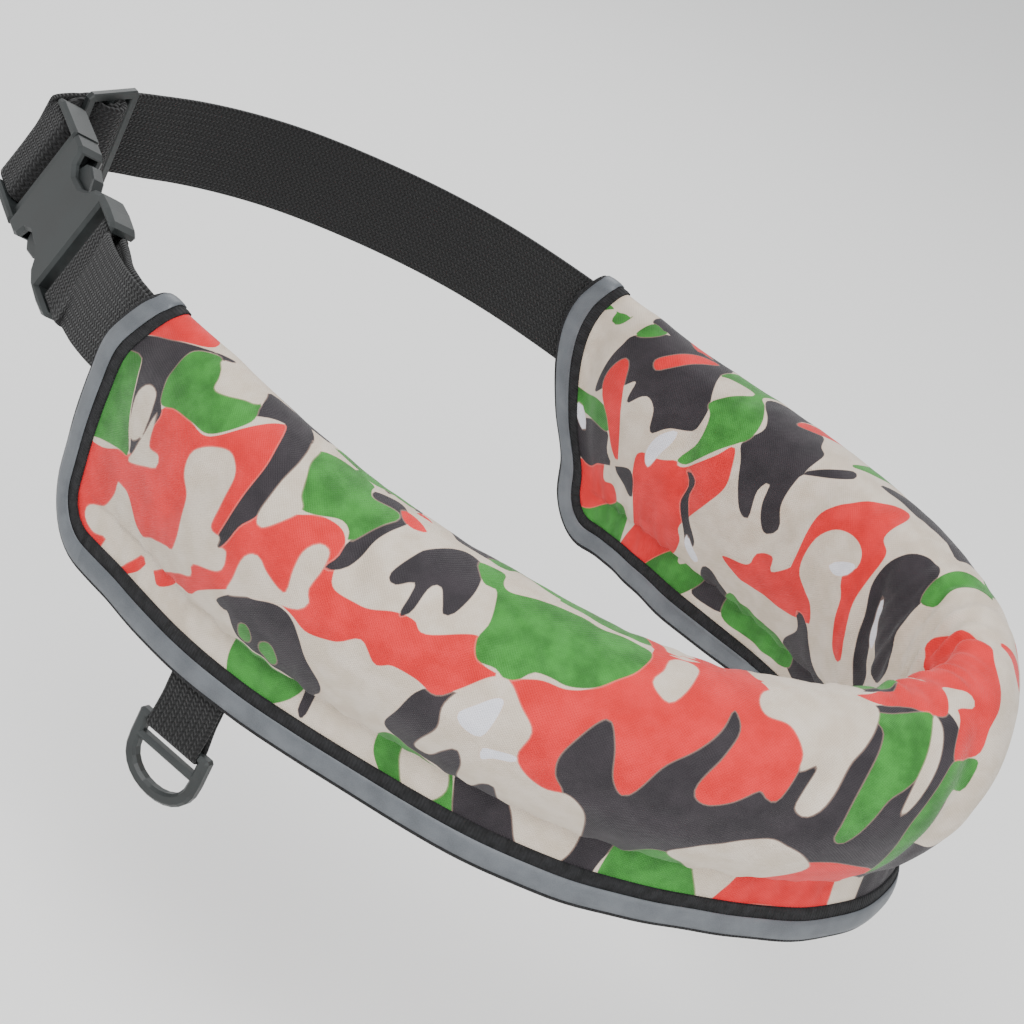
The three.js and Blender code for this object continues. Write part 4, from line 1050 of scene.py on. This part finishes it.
def main_belt_stations():
    """From the far pocket through the slider, round the plug's bar and back to the middle bar."""
    start = far_end - far_pocket_depth + 1
    stop = slider_s - slider_reach
    steps = round((stop - start) / station_step)
    lengths = [start + (stop - start) * i / steps for i in range(steps + 1)]
    stations = [station_in(belt_frame(s), 0, 0) for s in lengths]
    rail = (slider_length - slider_rail) / 2
    corner = rail - slider_rail * 0.7
    under = loop_radius + layer
    running = [
        (-rail - slider_rail, rail_pass), (-rail, rail_pass), (-corner, rail_pass),
        (-under - 0.8, 0.3), (-under * 0.87, -under * 0.6), (0, -under),
        (under * 0.87, -under * 0.6), (under + 0.8, 0.3),
        (corner, rail_pass), (rail, rail_pass), (rail + slider_rail, rail_pass),
    ]
    bar_x = plug_bar_end + gap + webbing_thickness / 2
    round_plug_bar = [
        (plug_start - 2, -wrap * 1.3), (plug_bar_start + 2, -wrap), (plug_bar_end - 1, -wrap),
        (bar_x, -wrap / 2), (bar_x, wrap / 2), (plug_bar_end - 1, wrap), (plug_bar_start + 2, wrap),
        (plug_start - 5, wrap * 0.8),
    ]
    back = [
        (rail + slider_rail, rail_pass + layer + 0.6), (rail, rail_pass + layer),
        (corner - 1, rail_pass + layer), (loop_radius, loop_radius * 1.4),
    ]
    turns = [math.pi / 2 + math.pi / 4 * i for i in range(6)]
    round_middle_bar = [(loop_radius * math.cos(a), loop_radius * math.sin(a)) for a in turns]
    stations += [station_in(slider_frame, x, y) for x, y in running]
    stations += [station_in(buckle_frame, x, y) for x, y in round_plug_bar]
    return stations + [station_in(slider_frame, x, y) for x, y in back + round_middle_bar]


def short_belt_stations():
    """Both layers out of the near pocket, joined round the socket's bar."""
    start = near_end + near_pocket_depth - 1 + route_length
    stop = buckle_s + buckle_length / 2 + 8
    steps = round((start - stop) / station_step)

    def layer_of(side):
        for i in range(steps + 1):
            s = start + (stop - start) * i / steps
            apart = layer / 2 + (wrap - layer / 2) * smooth((near_end + route_length - s) / 40)
            yield station_in(belt_frame(s), 0, side * apart)

    bar_x = socket_bar_start - gap - webbing_thickness / 2
    round_bar = [
        (ear_end + 2, wrap), (socket_bar_end, wrap), (socket_bar_start + 1, wrap), (bar_x, wrap / 2),
        (bar_x, -wrap / 2), (socket_bar_start + 1, -wrap), (socket_bar_end, -wrap), (ear_end + 2, -wrap),
    ]
    turn = [station_in(buckle_frame, x, y) for x, y in round_bar]
    return [*layer_of(1), *turn, *list(layer_of(-1))[::-1]]


def ring_station(h, n):
    before, after = (place(ring_s + side * ring_webbing_width / 2, h, n) for side in (-1, 1))
    across = after - before
    return (before + after) / 2, across / np.linalg.norm(across)


def ring_strap_stations():
    """Two layers out of the hem, joined round the ring's upper bar."""
    bar_h = pack_bottom - ring_drop - ring_bar / 2
    turn_radius = ring_bar / 2 + gap + ring_webbing_thickness / 2
    apart = (ring_webbing_thickness + gap) / 2
    heights = [
        pack_bottom + ring_tuck, pack_bottom + ring_tuck / 2, pack_bottom,
        pack_bottom - ring_drop * 0.3, pack_bottom - ring_drop * 0.55,
    ]
    turns = [math.pi * i / 8 for i in range(9)]
    loop = [ring_station(bar_h - turn_radius * math.sin(a), turn_radius * math.cos(a)) for a in turns]
    down = [ring_station(h, apart) for h in heights]
    return [*down, *loop, *[ring_station(h, -apart) for h in heights][::-1]]


oxford = printed_oxford()
tape = grosgrain()
reflective = reflective_tape()
webbing_cloth = black_webbing()
acetal = moulded_acetal()

cover = finish_piece(cover_piece(), oxford, "belt", "camouflage_oxford", "pack_cover")

# Sections of the bound edge in millimetres: how far into the cloth, and how far off its face
binding_section = [
    (14, 0.05), (13.8, 0.75), (12, 1.0), (7, 1.0), (1.2, 1.0), (-0.2, 0.75), (-0.9, 0.0),
    (-1.0, -0.9), (-0.6, -1.6), (0.2, -1.95), (4, -1.95), (4, -1.7), (0.1, -1.7), (0.0, 0.05), (7, 0.05),
]
finish_piece(
    edge_band_piece("edge_binding", binding_section, angle=60), tape, "belt", "black_binding", "hem_binding",
)
strip_section = [
    (1.3, 1.1), (9.1, 1.1), (9.25, 1.3), (9.1, 1.6), (7.2, 1.85), (5.2, 1.95), (3.2, 1.85),
    (1.4, 1.6), (1.2, 1.3),
]
finish_piece(
    edge_band_piece("reflective_tape", strip_section, angle=60),
    reflective, "belt", "reflective_grey", "reflective_strip",
)

for name, stations, width, thickness, node in (
    ("long_webbing", main_belt_stations(), webbing_width, webbing_thickness, "main_belt"),
    ("short_webbing", short_belt_stations(), webbing_width, webbing_thickness, "short_belt"),
    ("ring_webbing", ring_strap_stations(), ring_webbing_width, ring_webbing_thickness, "ring_strap"),
):
    finish_piece(
        webbing_piece(name, stations, width, thickness), webbing_cloth, "belt", "black_webbing", node,
    )
for node in ("buckle_socket", "buckle_plug", "strap_slider", "d_ring"):
    moulded = bpy.data.objects[node]
    moulded.data.materials.clear()
    moulded.data.materials.append(acetal)
    smooth_piece(moulded, 25)


# Floor, lights and camera
def soft_light(name, at, aim, size, power, shade="#ffffff"):
    lamp = bpy.data.lights.new(name, "AREA")
    lamp.shape = "DISK"
    lamp.size = size
    lamp.energy = power
    lamp.color = colour(shade)[:3]
    obj = bpy.data.objects.new(name, lamp)
    obj.location = at
    obj.rotation_euler = (Vector(aim) - Vector(at)).to_track_quat("-Z", "Y").to_euler()
    bpy.context.scene.collection.objects.link(obj)


def studio():
    bpy.ops.mesh.primitive_plane_add(size=12, location=(0, 0, -0.24))
    floor = bpy.context.object
    floor.name = "studio_floor"
    material, tree = new_material("matt_white_paper")
    finish_material(tree, {"Base Color": colour("#f4f4f3"), "Roughness": 0.95, "Specular IOR Level": 0.1})
    floor.data.materials.append(material)
    world = bpy.data.worlds.new("studio_air")
    world.use_nodes = True
    sky = world.node_tree.nodes["Background"]
    sky.inputs["Color"].default_value = colour("#f6f7f8")
    sky.inputs["Strength"].default_value = 1.0
    bpy.context.scene.world = world
    soft_light("key_light", (-0.75, -0.15, 1.15), (0, 0, 0), 0.9, 16)
    soft_light("fill_light", (-0.6, -1.1, 0.55), (0, -0.1, 0), 1.0, 7)
    soft_light("rim_light", (0.9, 0.7, 0.9), (0, 0, 0), 0.8, 8)


# The photo's view: azimuth and height of the camera round its target, roll, distance and lens
def studio_camera():
    azimuth, elevation, roll = (math.radians(a) for a in (64.5, 29, 24))
    distance = 0.915
    target = Vector((0.0210, -0.02544, 0))
    turn = Matrix.Rotation(-azimuth, 3, "Z")
    back = turn @ Vector((0, -math.cos(elevation), math.sin(elevation)))
    right = turn @ Vector((1, 0, 0))
    up = turn @ Vector((0, math.sin(elevation), math.cos(elevation)))
    image_x = right * math.cos(roll) + up * math.sin(roll)
    image_y = up * math.cos(roll) - right * math.sin(roll)
    data = bpy.data.cameras.new("photo_camera")
    data.lens = 84.375
    data.sensor_width = 36
    data.clip_start = 0.01
    camera = bpy.data.objects.new("photo_camera", data)
    basis = Matrix((image_x, image_y, back)).transposed()
    camera.rotation_euler = basis.to_euler()
    camera.location = target + back * distance
    bpy.context.scene.collection.objects.link(camera)
    bpy.context.scene.camera = camera


studio()
studio_camera()
